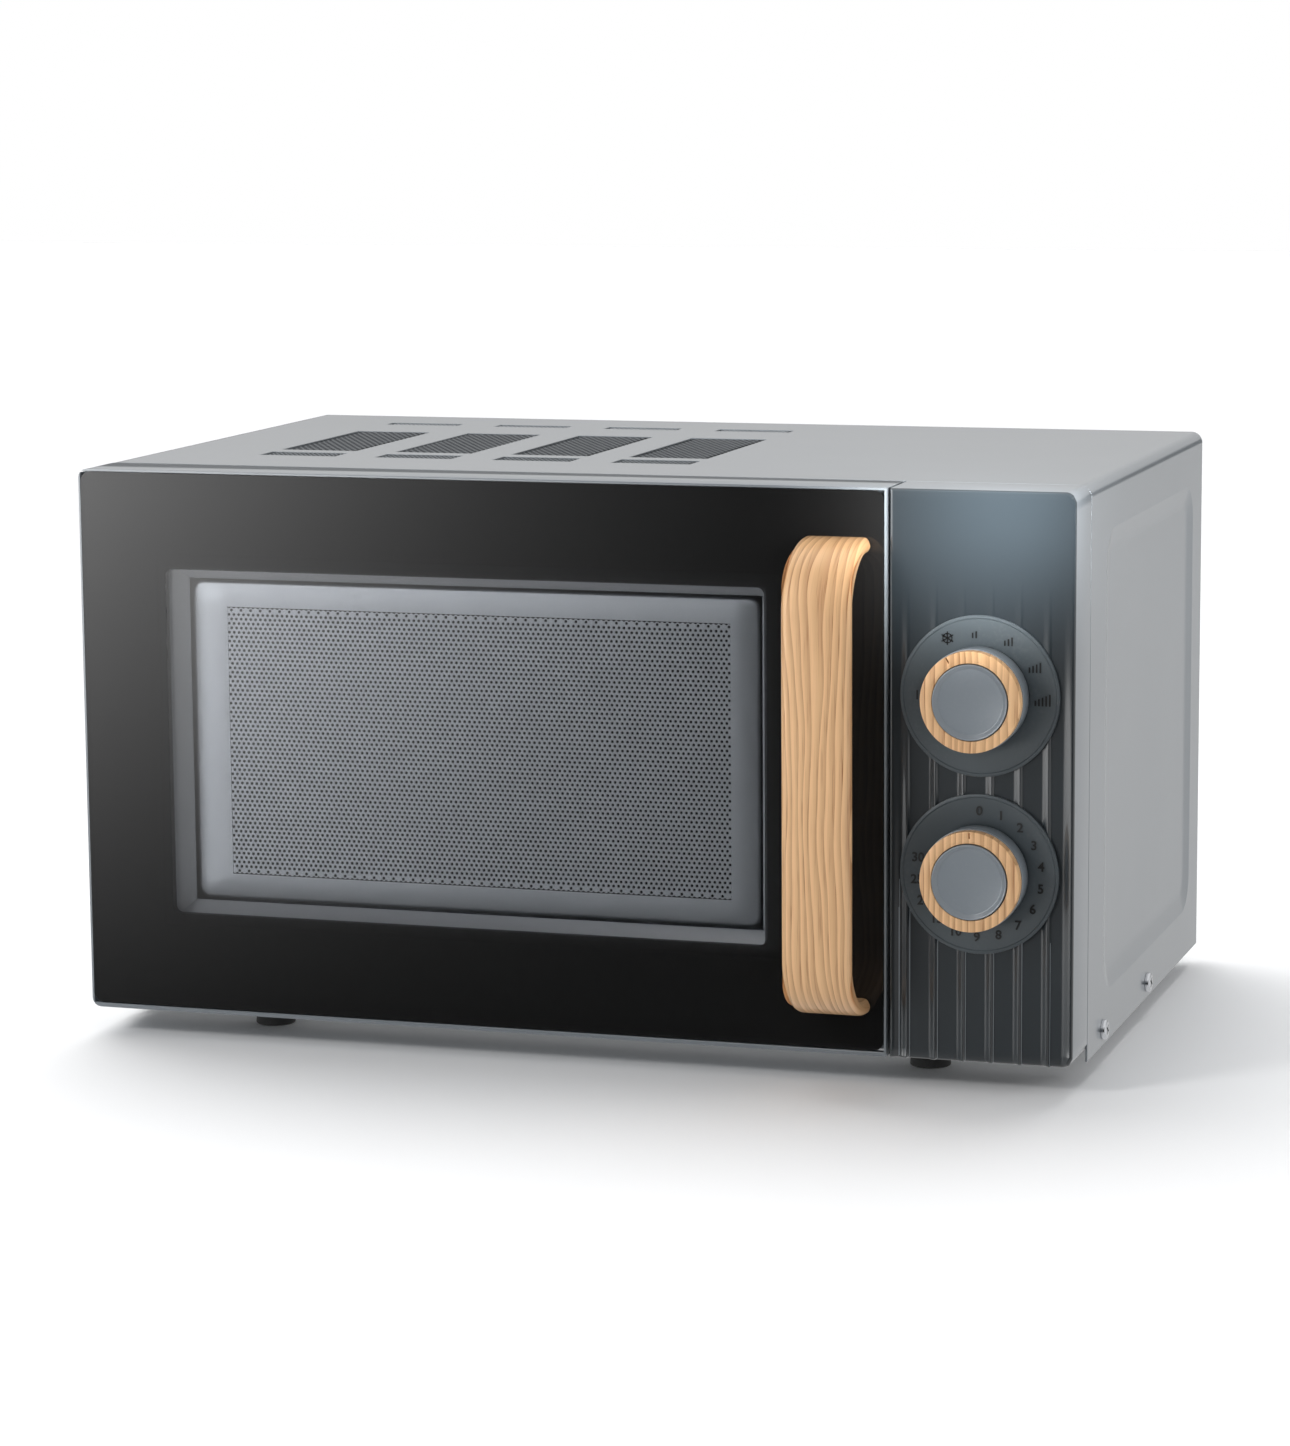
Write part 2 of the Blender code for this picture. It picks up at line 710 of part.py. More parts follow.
def door_frame():
    """The moulding round the door: its rim, the web behind the glass, and the hinge bearings."""
    shape = box_shape((-HALF, DOOR_RIGHT), (0.0003, DOOR_BACK), (FOOT_HEIGHT, HEIGHT))
    round_corners(shape, 1, CORNER_RADIUS - 0.001, right=False)
    frame = as_object("door_frame", shape, "grey_plastic")
    lip = 0.0009
    glass_seat = box(
        "glass_seat",
        (-HALF + lip, DOOR_RIGHT - lip),
        (-0.005, WEB[0]),
        (FOOT_HEIGHT + 2.1 * lip, HEIGHT - lip),
    )
    hollow = box(
        "door_hollow",
        (-HALF + DOOR_WALL, DOOR_RIGHT - DOOR_WALL),
        (WEB[1], DOOR_BACK + 0.005),
        (FOOT_HEIGHT + DOOR_WALL, HEIGHT - DOOR_WALL),
    )
    window = box("door_window", (-0.186, 0.095), (-0.002, 0.010), (0.0500, 0.2135))
    cut(frame, glass_seat, hollow, window)
    bearing_x = (-HALF + DOOR_WALL - 0.001, HINGE_X + 0.011)
    extras = [
        (bearing_x, (WEB[1] - 0.001, HINGE_Y + 0.008), mirrored((0.0225, 0.0255), upper))
        for upper in (True, False)
    ]
    extras += [
        ((HOOK_X[0] - 0.002, HOOK_X[1] + 0.002), (WEB[1] - 0.001, 0.0170), (z, z + 0.008))
        for z in (0.100, 0.150)
    ]
    extras.append(((HOOK_X[0] - 0.005, HOOK_X[1] + 0.005), (WEB[1] - 0.001, 0.0235), SPRING_SEAT_Z))
    join(frame, boxes("door_ribs", extras))
    for upper, word in ((True, "upper"), (False, "lower")):
        slot = box(
            f"{word}_arm_slot",
            (-HALF - 0.003, -HALF + DOOR_WALL + 0.0005),
            (WEB[1], DOOR_BACK + 0.003),
            mirrored(HINGE_SLOT_Z, upper),
        )
        bore_z = mirrored((0.0215, 0.0265), upper)
        cut(frame, slot)
        cut(
            frame,
            rod(f"{word}_bearing_bore", "z", (HINGE_X, HINGE_Y), HINGE_PIN + 0.0004, bore_z, sides=20),
        )
    for z in handle_screw_heights():
        cut(frame, rod(f"web_hole_{z:.3f}", "y", (HANDLE_X, z), 0.0022, (0.002, 0.010), sides=12))
    return frame


def handle_screws():
    """The two screws that hold the handle from inside the door."""
    screws = []
    for z, word in zip(handle_screw_heights(), ("lower", "upper")):
        name = f"handle_screw_{word}"
        head = (WEB[1] + GAP, WEB[1] + 0.0026)
        screw = rod(name, "y", (HANDLE_X, z), 0.0036, head, "zinc_steel", 16)
        shank = (-0.0125, WEB[1] + 0.001)
        screws.append(join(screw, rod(f"{name}_shank", "y", (HANDLE_X, z), 0.0015, shank, sides=10)))
    return screws


def door_screen():
    """The pressed steel screen behind the window, with its choke flange."""
    back = 0.0250
    face_x, face_z = (-0.182, 0.0905), (0.0525, 0.2110)
    flange_x, flange_z = (-0.2060, 0.1170), (0.0300, 0.2335)
    screen = box("door_screen", flange_x, (back - SHEET, back), flange_z, "zinc_steel")
    join(screen, box("screen_pan", face_x, (0.0140, back), face_z))
    inner_x = (face_x[0] + SHEET, face_x[1] - SHEET)
    inner_z = (face_z[0] + SHEET, face_z[1] - SHEET)
    return cut(screen, box("screen_hollow", inner_x, (0.0140 + SHEET, back + 0.004), inner_z))


def choke_cover():
    """The plastic frame that closes the door's back, with slots for the hooks."""
    cover = box(
        "choke_cover",
        (-HALF + DOOR_WALL + 0.0006, DOOR_RIGHT - DOOR_WALL - 0.0006),
        (0.0254, 0.0284),
        (0.0200, 0.2415),
        "black_plastic",
    )
    through = (0.020, 0.035)
    holes = [((-0.176, 0.0845), through, (0.0585, 0.2050))]
    holes += [(HOOK_SLOT_X, through, hook_slot_z(z)) for z in HOOK_HEIGHTS]
    return cut(cover, boxes("choke_cover_holes", holes))


def hook_slot_z(z):
    """The heights a hook needs as it lifts."""
    return (z - 0.0105, z + 0.0115)


def door_latch():
    """The sliding bar in the door, with two hooks that reach into the body."""
    spans = [((HOOK_X[0] - 0.0025, HOOK_X[1] + 0.0025), (0.0175, 0.0235), (0.060, LATCH_TOP))]
    bar = boxes("door_latch", spans, "black_plastic")
    for z in HOOK_HEIGHTS:
        arm = (HOOK_X, (0.0200, HOOK_END), (z - 0.003, z + 0.004))
        tip = (HOOK_X, (HOOK_END - 0.006, HOOK_END - 0.00001), (z - 0.008, z + 0.001))
        join(bar, box(f"hook_arm_{z:.3f}", *arm), box(f"hook_tip_{z:.3f}", *tip))
    return bar


def latch_spring():
    """The coil that pushes the latch down."""
    turns, per_turn, coil, wire = 5, 8, 0.0026, 0.0004
    low, high = LATCH_TOP + GAP + wire, SPRING_SEAT_Z[0] - GAP - wire
    curve = bpy.data.curves.new("latch_spring", "CURVE")
    curve.dimensions = "3D"
    curve.bevel_depth = wire
    curve.bevel_resolution = 1
    curve.use_fill_caps = True
    spline = curve.splines.new("POLY")
    count = turns * per_turn + 1
    spline.points.add(count - 1)
    middle_x = (HOOK_X[0] + HOOK_X[1]) / 2
    for i, point in enumerate(spline.points):
        angle = 2 * math.pi * i / per_turn
        height = low + (high - low) * i / (count - 1)
        across, back = coil * math.cos(angle), coil * math.sin(angle)
        point.co = (middle_x + across, FRONT + 0.0205 + back, height, 1)
    spring = bpy.data.objects.new("latch_spring", curve)
    PARTS.objects.link(spring)
    return mesh_of(spring, "zinc_steel")


def hinge(upper):
    """A hinge: a foot behind the front plate, an arm into the door, and the pin."""
    word = "upper" if upper else "lower"
    foot = box(
        f"{word}_hinge",
        (HINGE_X - 0.0035, -0.1950),
        (PLATE_Y + SHEET + GAP, PLATE_Y + SHEET + 0.0018),
        mirrored((0.0165, 0.0300), upper),
        "zinc_steel",
    )
    arm = box(
        f"{word}_hinge_arm",
        (HINGE_X - 0.0035, HINGE_X + 0.0035),
        (HINGE_Y - 0.0035, PLATE_Y + SHEET + 0.0015),
        mirrored((0.0165, 0.0185), upper),
    )
    pin_z = mirrored((0.0175, 0.0275), upper)
    pin = rod(f"{word}_hinge_pin", "z", (HINGE_X, HINGE_Y), HINGE_PIN, pin_z, sides=20)
    return join(foot, arm, pin)


def door():
    """Everything that swings with the door."""
    nodes = [door_frame(), door_glass(), door_screen(), choke_cover(), door_handle()]
    nodes += [*handle_screws(), latch_spring()]
    swing = hang_on("door_axis", (HINGE_X, HINGE_Y, HEIGHT / 2), nodes)
    middle_x = (HOOK_X[0] + HOOK_X[1]) / 2
    slide = hang_on("door_latch_axis", (middle_x, 0.0205, 0.1985), [door_latch()])
    slide.parent = swing
    slide.matrix_parent_inverse = Matrix.Translation(-Vector(swing.location))


# The interlock


def interlock_bracket():
    """The moulding behind the front plate that the hooks enter and the switches are fixed to."""
    front = PLATE_Y + SHEET + GAP
    wall = ((0.1340, 0.1360), (front, 0.0740), (0.050, 0.210))
    bracket = box("interlock_bracket", *wall, "black_plastic")
    join(bracket, box("bracket_flange", (0.1145, 0.1350), (front, front + 0.002), (0.050, 0.210)))
    through = (front - 0.003, front + 0.006)
    slots = [(HOOK_SLOT_X, through, hook_slot_z(z)) for z in HOOK_HEIGHTS]
    return cut(bracket, boxes("bracket_slots", slots))


def door_switch(kind, z):
    """A snap switch behind a hook, and its sprung plunger."""
    middle = (HOOK_X[0] + HOOK_X[1]) / 2
    body_front, plunger_radius = 0.0560, 0.0016
    body = box(
        f"{kind}_switch",
        (0.1237, 0.1337),
        (body_front, 0.0720),
        (z - 0.014, z + 0.014),
        "black_plastic",
    )
    well = (body_front - 0.002, body_front + 0.0060)
    cut(body, rod(f"{kind}_plunger_well", "y", (middle, z), plunger_radius + 0.0004, well, sides=14))
    span = (HOOK_END + GAP, body_front + 0.0040)
    plunger = rod(
        f"{kind}_plunger", "y", (middle, z), plunger_radius, span, "white_plastic", 14
    )
    hang_on(f"{kind}_plunger_axis", (middle, body_front, z), [plunger])


# The turntable


def turntable_motor():
    """The flat geared motor under the cavity."""
    z = (0.0157, 0.0307)
    motor = rod("turntable_motor", "z", (TABLE_X, TABLE_Y), 0.0245, z, "zinc_steel", 32)
    tabs = box(
        "motor_tabs",
        (TABLE_X - 0.031, TABLE_X + 0.031),
        (TABLE_Y - 0.005, TABLE_Y + 0.005),
        (z[1] - 0.0012, z[1]),
    )
    join(motor, tabs)
    return cut(motor, rod("motor_bore", "z", (TABLE_X, TABLE_Y), 0.0040, (0.0205, 0.035), sides=16))


def turntable():
    """The glass plate and the three-armed coupler that turns it."""
    base = CAVITY_Z[0] + 2 * ROLLER_RADIUS + 2 * GAP
    place = (TABLE_X, TABLE_Y, base)
    plate = turned(
        "turntable_plate",
        [
            (0, 0.0046),
            (PLATE_RADIUS - 0.012, 0.0046),
            (PLATE_RADIUS - 0.0035, 0.0130),
            (PLATE_RADIUS, 0.0130),
            (PLATE_RADIUS, 0.0100),
            (PLATE_RADIUS - 0.009, 0),
            (0, 0),
        ],
        place,
        "clear_glass",
        steps=40,
    )
    stub = rod("turntable_coupler", "z", (TABLE_X, TABLE_Y), 0.0034, (0.0215, 0.040), "white_plastic", 16)
    shape = bmesh.new()
    hub_z = (CAVITY_Z[0] + 0.003, base - GAP)
    rod_shape("z", (TABLE_X, TABLE_Y), 0.009, hub_z, 18, shape)
    hub = as_object("coupler_hub", shape)
    join(stub, hub)
    for i in range(3):
        arm = box_shape((0, 0.020), (-FRONT - 0.003, -FRONT + 0.003), (hub_z[0], hub_z[1] - 0.002))
        turn = Matrix.Rotation(2 * math.pi * i / 3 + math.pi / 6, 4, "Z")
        arm.transform(Matrix.Translation((TABLE_X, FRONT + TABLE_Y, 0)) @ turn)
        join(stub, as_object(f"coupler_arm_{i + 1}", arm))
    hang_on("turntable_axis", place, [plate, stub])


def roller_ring():
    """The ring under the plate, with an axle for each of its three rollers."""
    axle_z = CAVITY_Z[0] + GAP + ROLLER_RADIUS
    half = 0.002
    inner, outer = 0.0775, 0.0840
    section = [(inner, half), (outer, half), (outer, -half), (inner, -half)]
    ring = turned(
        "roller_ring", section, (TABLE_X, TABLE_Y, axle_z), "white_plastic", steps=48, closed=True
    )
    centre = Matrix.Translation((TABLE_X, FRONT + TABLE_Y, axle_z))
    across = Matrix.Rotation(math.pi / 2, 4, "Y")
    axle_radius = 0.0014
    start, end = outer - 0.002, ROLLER_CIRCLE + ROLLER_WIDTH / 2 + 0.001
    for i in range(3):
        turn = centre @ Matrix.Rotation(2 * math.pi * i / 3, 4, "Z")
        axle = bmesh.new()
        bmesh.ops.create_cone(
            axle,
            cap_ends=True,
            segments=12,
            radius1=axle_radius,
            radius2=axle_radius,
            depth=end - start,
            matrix=turn @ Matrix.Translation(((start + end) / 2, 0, 0)) @ across,
        )
        join(ring, as_object(f"roller_axle_{i + 1}", axle))
        roller(i, turn @ Matrix.Translation((ROLLER_CIRCLE, 0, 0)) @ across, axle_radius)
    hang_on("roller_ring_axis", (TABLE_X, TABLE_Y, axle_z), [ring])


def roller(index, matrix, axle_radius):
    """One wheel, turned about its axle."""
    half, bore = ROLLER_WIDTH / 2, axle_radius + GAP
    wheel = turned(
        f"roller_{index + 1}",
        [
            (bore, half),
            (ROLLER_RADIUS - 0.0005, half),
            (ROLLER_RADIUS, half - 0.0005),
            (ROLLER_RADIUS, -half + 0.0005),
            (ROLLER_RADIUS - 0.0005, -half),
            (bore, -half),
        ],
        (0, 0, 0),
        "white_plastic",
        steps=24,
        closed=True,
    )
    wheel.matrix_world = matrix


# The microwave source


def waveguide():
    """The channel that carries the waves from the magnetron to the cavity."""
    x = (CAVITY_X[1] + SHEET + GAP, 0.1385)
    shape = box_shape(x, (0.128, 0.215), (0.150, 0.212))
    open_side(shape, (-1, 0, 0))
    channel = solidify(as_object("waveguide", shape, "zinc_steel"), SHEET)
    return cut(channel, rod("antenna_hole", "x", (0.170, 0.182), 0.0120, (0.130, 0.145)))


def waveguide_cover():
    """The mica sheet over the waveguide's mouth, inside the cavity."""
    x = (CAVITY_X[1] - 0.0012, CAVITY_X[1] - GAP)
    return box("waveguide_cover", x, (0.128, 0.207), (0.153, 0.212), "mica")


def magnetron():
    """The magnetron: its antenna, anode and cooling fins inside a yoke."""
    y, z = (0.134, 0.206), (0.140, 0.218)
    x = (0.1390, 0.2110)
    yoke = box("magnetron", x, y, z, "aluminium")
    window = box(
        "yoke_window",
        (x[0] + 0.003, x[1] - 0.012),
        (y[0] - 0.01, y[1] + 0.01),
        (z[0] + 0.003, z[1] - 0.003),
    )
    cut(yoke, window)
    anode = rod("anode", "x", (0.170, 0.179), 0.017, (x[0] + 0.001, x[1] - 0.002), sides=20)
    fins = boxes(
        "fins",
        [
            ((fx, fx + 0.0008), (y[0] + 0.003, y[1] - 0.003), (z[0] + 0.001, z[1] - 0.001))
            for fx in (0.150 + 0.0085 * i for i in range(5))
        ],
    )
    antenna = rod("antenna", "x", (0.170, 0.182), 0.0075, (0.1190, 0.150), sides=16)
    return join(yoke, anode, fins, antenna)


def transformer():
    """The high-voltage transformer: a laminated core and the winding round its middle limb."""
    x, y, z = TRANSFORMER
    limb, window, height = 0.012, 0.014, 0.0205
    half = Vector((0.040, 0.025, 0.0345))
    core = box(
        "transformer_core",
        (x - half.x, x + half.x),
        (y - half.y, y + half.y),
        (z - half.z, z + half.z),
        "lamination",
    )
    windows = [
        ((x + a, x + b), (y - 0.04, y + 0.04), (z - height, z + height))
        for a, b in ((-limb - window, -limb), (limb, limb + window))
    ]
    cut(core, boxes("core_windows", windows))
    outer_x, outer_y = limb + window - GAP, half.y + 0.013
    shape = box_shape(
        (x - outer_x, x + outer_x),
        (y - outer_y, y + outer_y),
        (z - height + GAP, z + height - GAP),
    )
    round_corners(shape, 2, 0.006, segments=3)
    winding = as_object("transformer_winding", shape, "copper")
    hole = box(
        "winding_hole",
        (x - limb - GAP, x + limb + GAP),
        (y - half.y - GAP, y + half.y + GAP),
        (0, 0.1),
    )
    cut(winding, hole)


def hv_capacitor():
    """The oval high-voltage capacitor, with its two terminals."""
    x, y, z = (0.146, 0.200), (0.165, 0.197), (0.0138, 0.0950)
    shape = round_corners(box_shape(x, y, z), 2, 0.0155, segments=5)
    can = as_object("hv_capacitor", shape, "aluminium")
    tabs = boxes(
        "capacitor_tabs",
        [((tx, tx + 0.006), (0.180, 0.1808), (z[1] - 0.001, z[1] + 0.010)) for tx in (0.158, 0.182)],
    )
    return join(can, tabs)


def fan():
    """The cooling fan: its motor, the shroud with a spider, and the blades on their shaft."""
    half = 0.0440
    shroud_y = (0.2366, 0.2680)
    x, z = (FAN_X - half, FAN_X + half), (FAN_Z - half, FAN_Z + half)
    shroud = box("fan_shroud", x, shroud_y, z, "black_plastic")
    duct = rod("fan_duct", "y", (FAN_X, FAN_Z), FAN_RADIUS + 0.0025, (0.2386, 0.275), sides=32)
    inlet = rod("fan_mouth", "y", (FAN_X, FAN_Z), FAN_RADIUS + 0.0005, (0.230, 0.2400), sides=32)
    cut(shroud, duct, inlet)
    join(
        shroud,
        box("spider_arm", (x[0] + 0.004, x[1] - 0.004), (0.2366, 0.2386), (FAN_Z - 0.006, FAN_Z + 0.006)),
    )
    cut(shroud, rod("spider_bore", "y", (FAN_X, FAN_Z), 0.0030, (0.230, 0.245), sides=14))
    motor = box(
        "fan_motor",
        (FAN_X - 0.026, FAN_X + 0.026),
        (0.2160, 0.2363),
        (FAN_Z - 0.026, FAN_Z + 0.026),
        "lamination",
    )
    coil = box("fan_coil", (FAN_X - 0.014, FAN_X + 0.014), (0.2120, 0.2300), (FAN_Z + 0.010, FAN_Z + 0.034))
    join(motor, coil)
    cut(motor, rod("fan_motor_bore", "y", (FAN_X, FAN_Z), 0.0030, (0.2200, 0.240), sides=14))
    fan_blade()


def fan_blade():
    """Five tilted blades on a hub and shaft."""
    count, tilt, chord, hub_radius = 5, math.radians(35), 0.016, 0.013
    hub = rod("fan_blade", "y", (FAN_X, FAN_Z), hub_radius, (0.2440, 0.2580), "black_plastic", 24)
    shaft = rod("fan_shaft", "y", (FAN_X, FAN_Z), 0.0024, (0.2215, 0.2500), sides=12)
    join(hub, shaft)
    blades = bmesh.new()
    root, tip = hub_radius - 0.0015, FAN_RADIUS
    for i in range(count):
        place = (
            Matrix.Translation((FAN_X, FRONT + 0.2510, FAN_Z))
            @ Matrix.Rotation(2 * math.pi * i / count, 4, "Y")
            @ Matrix.Rotation(tilt, 4, "X")
            @ Matrix.Translation(((root + tip) / 2, 0, 0))
            @ Matrix.Diagonal((tip - root, 0.0012, chord, 1))
        )
        bmesh.ops.create_cube(blades, size=1, matrix=place)
    join(hub, as_object("fan_blades", blades))
    hang_on("fan_axis", (FAN_X, 0.2510, FAN_Z), [hub])


def lamp():
    """The cavity lamp on a bracket beside its slots."""
    centre = (0.1285, 0.0915)
    body = rod("lamp", "z", centre, 0.0070, (0.1480, 0.1640), "white_plastic", 20)
    bulb = turned(
        "lamp_bulb",
        [(0, 0.032), (0.004, 0.0310), (0.0075, 0.027), (0.0090, 0.020), (0.0085, 0.012), (0.0062, 0), (0, 0)],
        (*centre, 0.1630),
        steps=16,
    )
    bracket = boxes(
        "lamp_bracket",
        [((0.1115, 0.1240), (0.0840, 0.0990), (0.1500, 0.1515))],
    )
    foot = box("lamp_bracket_foot", (0.1114, 0.1126), (0.0840, 0.0990), (0.1380, 0.1510))
    return join(body, bulb, bracket, foot)


def build():
    """Makes the whole oven."""
    for thing in list(bpy.data.objects):
        bpy.data.objects.remove(thing, do_unlink=True)
    for group in (PARTS, CUTTERS):
        bpy.context.scene.collection.children.link(group)
    outer_wrapper()
    side_screws()
    back_panel()
    base_plate()
    feet()
    cord_gland()
    front_plate()
    cavity()
    control_panel()
    for kind, z, size, depth, notch in (
        ("power", POWER_Z, 0.044, 0.026, math.radians(119)),
        ("timer", TIMER_Z, 0.052, 0.034, math.radians(90)),
    ):
        dial_plate(f"{kind}_dial_plate", z)
        knob(kind, z, notch)
        gearbox({"power": "power_selector", "timer": "timer_unit"}[kind], z, size, depth)
    door()
    hinge(True)
    hinge(False)
    interlock_bracket()
    door_switch("primary", HOOK_HEIGHTS[1])
    door_switch("monitor", HOOK_HEIGHTS[0])
    turntable_motor()
    turntable()
    roller_ring()
    waveguide()
    waveguide_cover()
    magnetron()
    transformer()
    hv_capacitor()
    fan()
    lamp()


build()
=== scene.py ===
"""A countertop microwave oven: black glass door, oak handle, fluted control panel with two dials.

The oven's joints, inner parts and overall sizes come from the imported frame. This script makes the
fine outer pieces, dresses every piece in its finish, and sets up the studio. Depths are measured in
metres behind the plane of the door's glass, whose front is at FRONT.
"""

import logging
import math
from collections.abc import Callable, Iterator, Sequence
from contextlib import contextmanager
from dataclasses import dataclass, field
from enum import Enum

import bmesh
import bpy
from mathutils import Matrix, Vector


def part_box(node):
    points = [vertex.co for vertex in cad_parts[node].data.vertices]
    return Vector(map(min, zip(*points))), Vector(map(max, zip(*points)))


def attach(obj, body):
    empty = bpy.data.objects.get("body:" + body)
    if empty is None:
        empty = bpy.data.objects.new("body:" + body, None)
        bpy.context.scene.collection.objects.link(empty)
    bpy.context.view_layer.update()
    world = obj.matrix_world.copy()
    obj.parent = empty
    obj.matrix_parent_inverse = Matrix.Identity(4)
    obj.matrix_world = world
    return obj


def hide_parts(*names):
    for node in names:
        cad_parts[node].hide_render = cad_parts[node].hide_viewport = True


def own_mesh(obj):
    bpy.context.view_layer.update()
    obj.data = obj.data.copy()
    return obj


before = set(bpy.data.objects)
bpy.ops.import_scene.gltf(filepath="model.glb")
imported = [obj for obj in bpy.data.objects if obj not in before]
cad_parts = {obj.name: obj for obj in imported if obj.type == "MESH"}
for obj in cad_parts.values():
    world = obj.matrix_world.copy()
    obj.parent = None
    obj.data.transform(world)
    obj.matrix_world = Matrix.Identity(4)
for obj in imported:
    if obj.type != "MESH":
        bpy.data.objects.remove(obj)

log = logging.getLogger("oven")

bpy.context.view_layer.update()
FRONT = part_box("door_glass")[0].y

Colour = tuple[float, float, float]
Span = tuple[float, float]
Spot = tuple[float, float, float]
Test = Callable[[Vector, Vector], bool]
Socket = bpy.types.NodeSocket


class Body(str, Enum):
    """The moving bodies that pieces ride on."""

    CASING = "casing"
    DOOR = "door"
    POWER = "power_knob"
    TIMER = "timer_knob"


class Slot(str, Enum):
    """The record's material slots, passed to fit beside each new piece's finish, which comes from Finishes.
    """

    ENAMEL = "grey_enamel"
    PLASTIC = "grey_plastic"
    GLASS = "black_glass"
    OAK = "oak"
    ZINC = "zinc_steel"
    CHROME = "chrome"
    RUBBER = "black_rubber"


# Materials


def linear(colour: Colour) -> Colour:
    """Turn an sRGB colour from 0 to 255 into linear values."""
    shares = (value / 255 for value in colour)
    return tuple(s / 12.92 if s <= 0.04045 else ((s + 0.055) / 1.055) ** 2.4 for s in shares)


class Wiring:
    """A node tree with short calls for adding and joining its nodes."""

    def __init__(self, tree: bpy.types.NodeTree) -> None:
        """Take an empty node tree."""
        self.tree = tree

    def add(self, kind: str, **settings: object) -> bpy.types.Node:
        """Add one node.

        Args:
            kind: The node's type, without its ShaderNode prefix.
            **settings: Values for the node's own properties.

        Returns:
            The new node.
        """
        node = self.tree.nodes.new(kind if kind.startswith("Node") else f"ShaderNode{kind}")
        for key, value in settings.items():
            setattr(node, key, value)
        return node

    def join(self, source: Socket, target: Socket) -> None:
        """Link an output socket to an input socket."""
        self.tree.links.new(source, target)

    def noise(self, where: Socket, scale: float, detail: float = 3.0) -> Socket:
        """Add a noise pattern.

        Args:
            where: The coordinates that the pattern reads.
            scale: Cells per metre.
            detail: How many finer layers it has.

        Returns:
            The pattern's value, from 0 to 1.
        """
        node = self.add("TexNoise")
        node.inputs["Scale"].default_value = scale
        node.inputs["Detail"].default_value = detail
        self.join(where, node.inputs["Vector"])
        return node.outputs["Fac"]

    def stretch(self, where: Socket, scale: Spot) -> Socket:
        """Scale coordinates along each axis, so that a pattern reads long or short there.

        Args:
            where: The coordinates.
            scale: The factor along each axis.

        Returns:
            The scaled coordinates.
        """
        node = self.add("Mapping")
        node.inputs["Scale"].default_value = scale
        self.join(where, node.inputs["Vector"])
        return node.outputs["Vector"]

    def span(self, value: Socket, low: float | Socket, high: float | Socket) -> Socket:
        """Spread a value from 0 to 1 over another span.

        Args:
            value: The value to spread.
            low: What 0 becomes, a number or a socket.
            high: What 1 becomes, a number or a socket.

        Returns:
            The spread value.
        """
        node = self.add("MapRange")
        self.join(value, node.inputs["Value"])
        for name, end in (("To Min", low), ("To Max", high)):
            if isinstance(end, bpy.types.NodeSocket):
                self.join(end, node.inputs[name])
            else:
                node.inputs[name].default_value = end
        return node.outputs["Result"]

    def mix(self, share: Socket, first: Socket | Colour, second: Socket | Colour, way: str = "MIX") -> Socket:
        """Blend two colours.

        Args:
            share: How much of the second colour shows.
            first: A colour or a colour socket.
            second: A colour or a colour socket.
            way: The blend type.

        Returns:
            The blended colour.
        """
        node = self.add("Mix", data_type="RGBA", blend_type=way)
        self.join(share, node.inputs["Factor"])
        for socket, colour in ((node.inputs[6], first), (node.inputs[7], second)):
            if isinstance(colour, bpy.types.NodeSocket):
                self.join(colour, socket)
            else:
                socket.default_value = (*colour, 1)
        return node.outputs[2]

    def sum(self, first: Socket, second: Socket, way: str = "ADD") -> Socket:
        """Combine two values with an arithmetic operation.

        Args:
            first: The first value.
            second: The second value.
            way: The operation.

        Returns:
            The result.
        """
        node = self.add("Math", operation=way)
        self.join(first, node.inputs[0])
        self.join(second, node.inputs[1])
        return node.outputs[0]


class Pattern:
    """A shader node group that several finishes share."""

    name = ""
    takes: Sequence[tuple[str, str]] = ()
    gives: Sequence[tuple[str, str]] = ()
    made: dict[str, bpy.types.NodeTree] = {}

    def tree(self) -> bpy.types.NodeTree:
        """Build the group the first time, and return it each time.

        Returns:
            The group's node tree.
        """
        if self.name not in Pattern.made:
            tree = bpy.data.node_groups.new(self.name, "ShaderNodeTree")
            for label, kind in self.takes:
                tree.interface.new_socket(label, in_out="INPUT", socket_type=f"NodeSocket{kind}")
            for label, kind in self.gives:
                tree.interface.new_socket(label, in_out="OUTPUT", socket_type=f"NodeSocket{kind}")
            wiring = Wiring(tree)
            self.draw(wiring, wiring.add("NodeGroupInput").outputs, wiring.add("NodeGroupOutput").inputs)
            Pattern.made[self.name] = tree
        return Pattern.made[self.name]

    def draw(self, wiring: Wiring, given: object, result: object) -> None:
        """Add the pattern's own nodes between the group's inputs and outputs."""
        raise NotImplementedError

    def place(self, wiring: Wiring, where: Socket, **values: object) -> bpy.types.Node:
        """Place the group in a material.

        Args:
            wiring: The material's node tree.
            where: The coordinates that the pattern reads.
            **values: Values for the group's other inputs, with spaces as underscores.

        Returns:
            The group node.
        """
        node = wiring.add("Group", node_tree=self.tree())
        wiring.join(where, node.inputs["Vector"])
        for key, value in values.items():
            node.inputs[key.replace("_", " ")].default_value = value
        return node


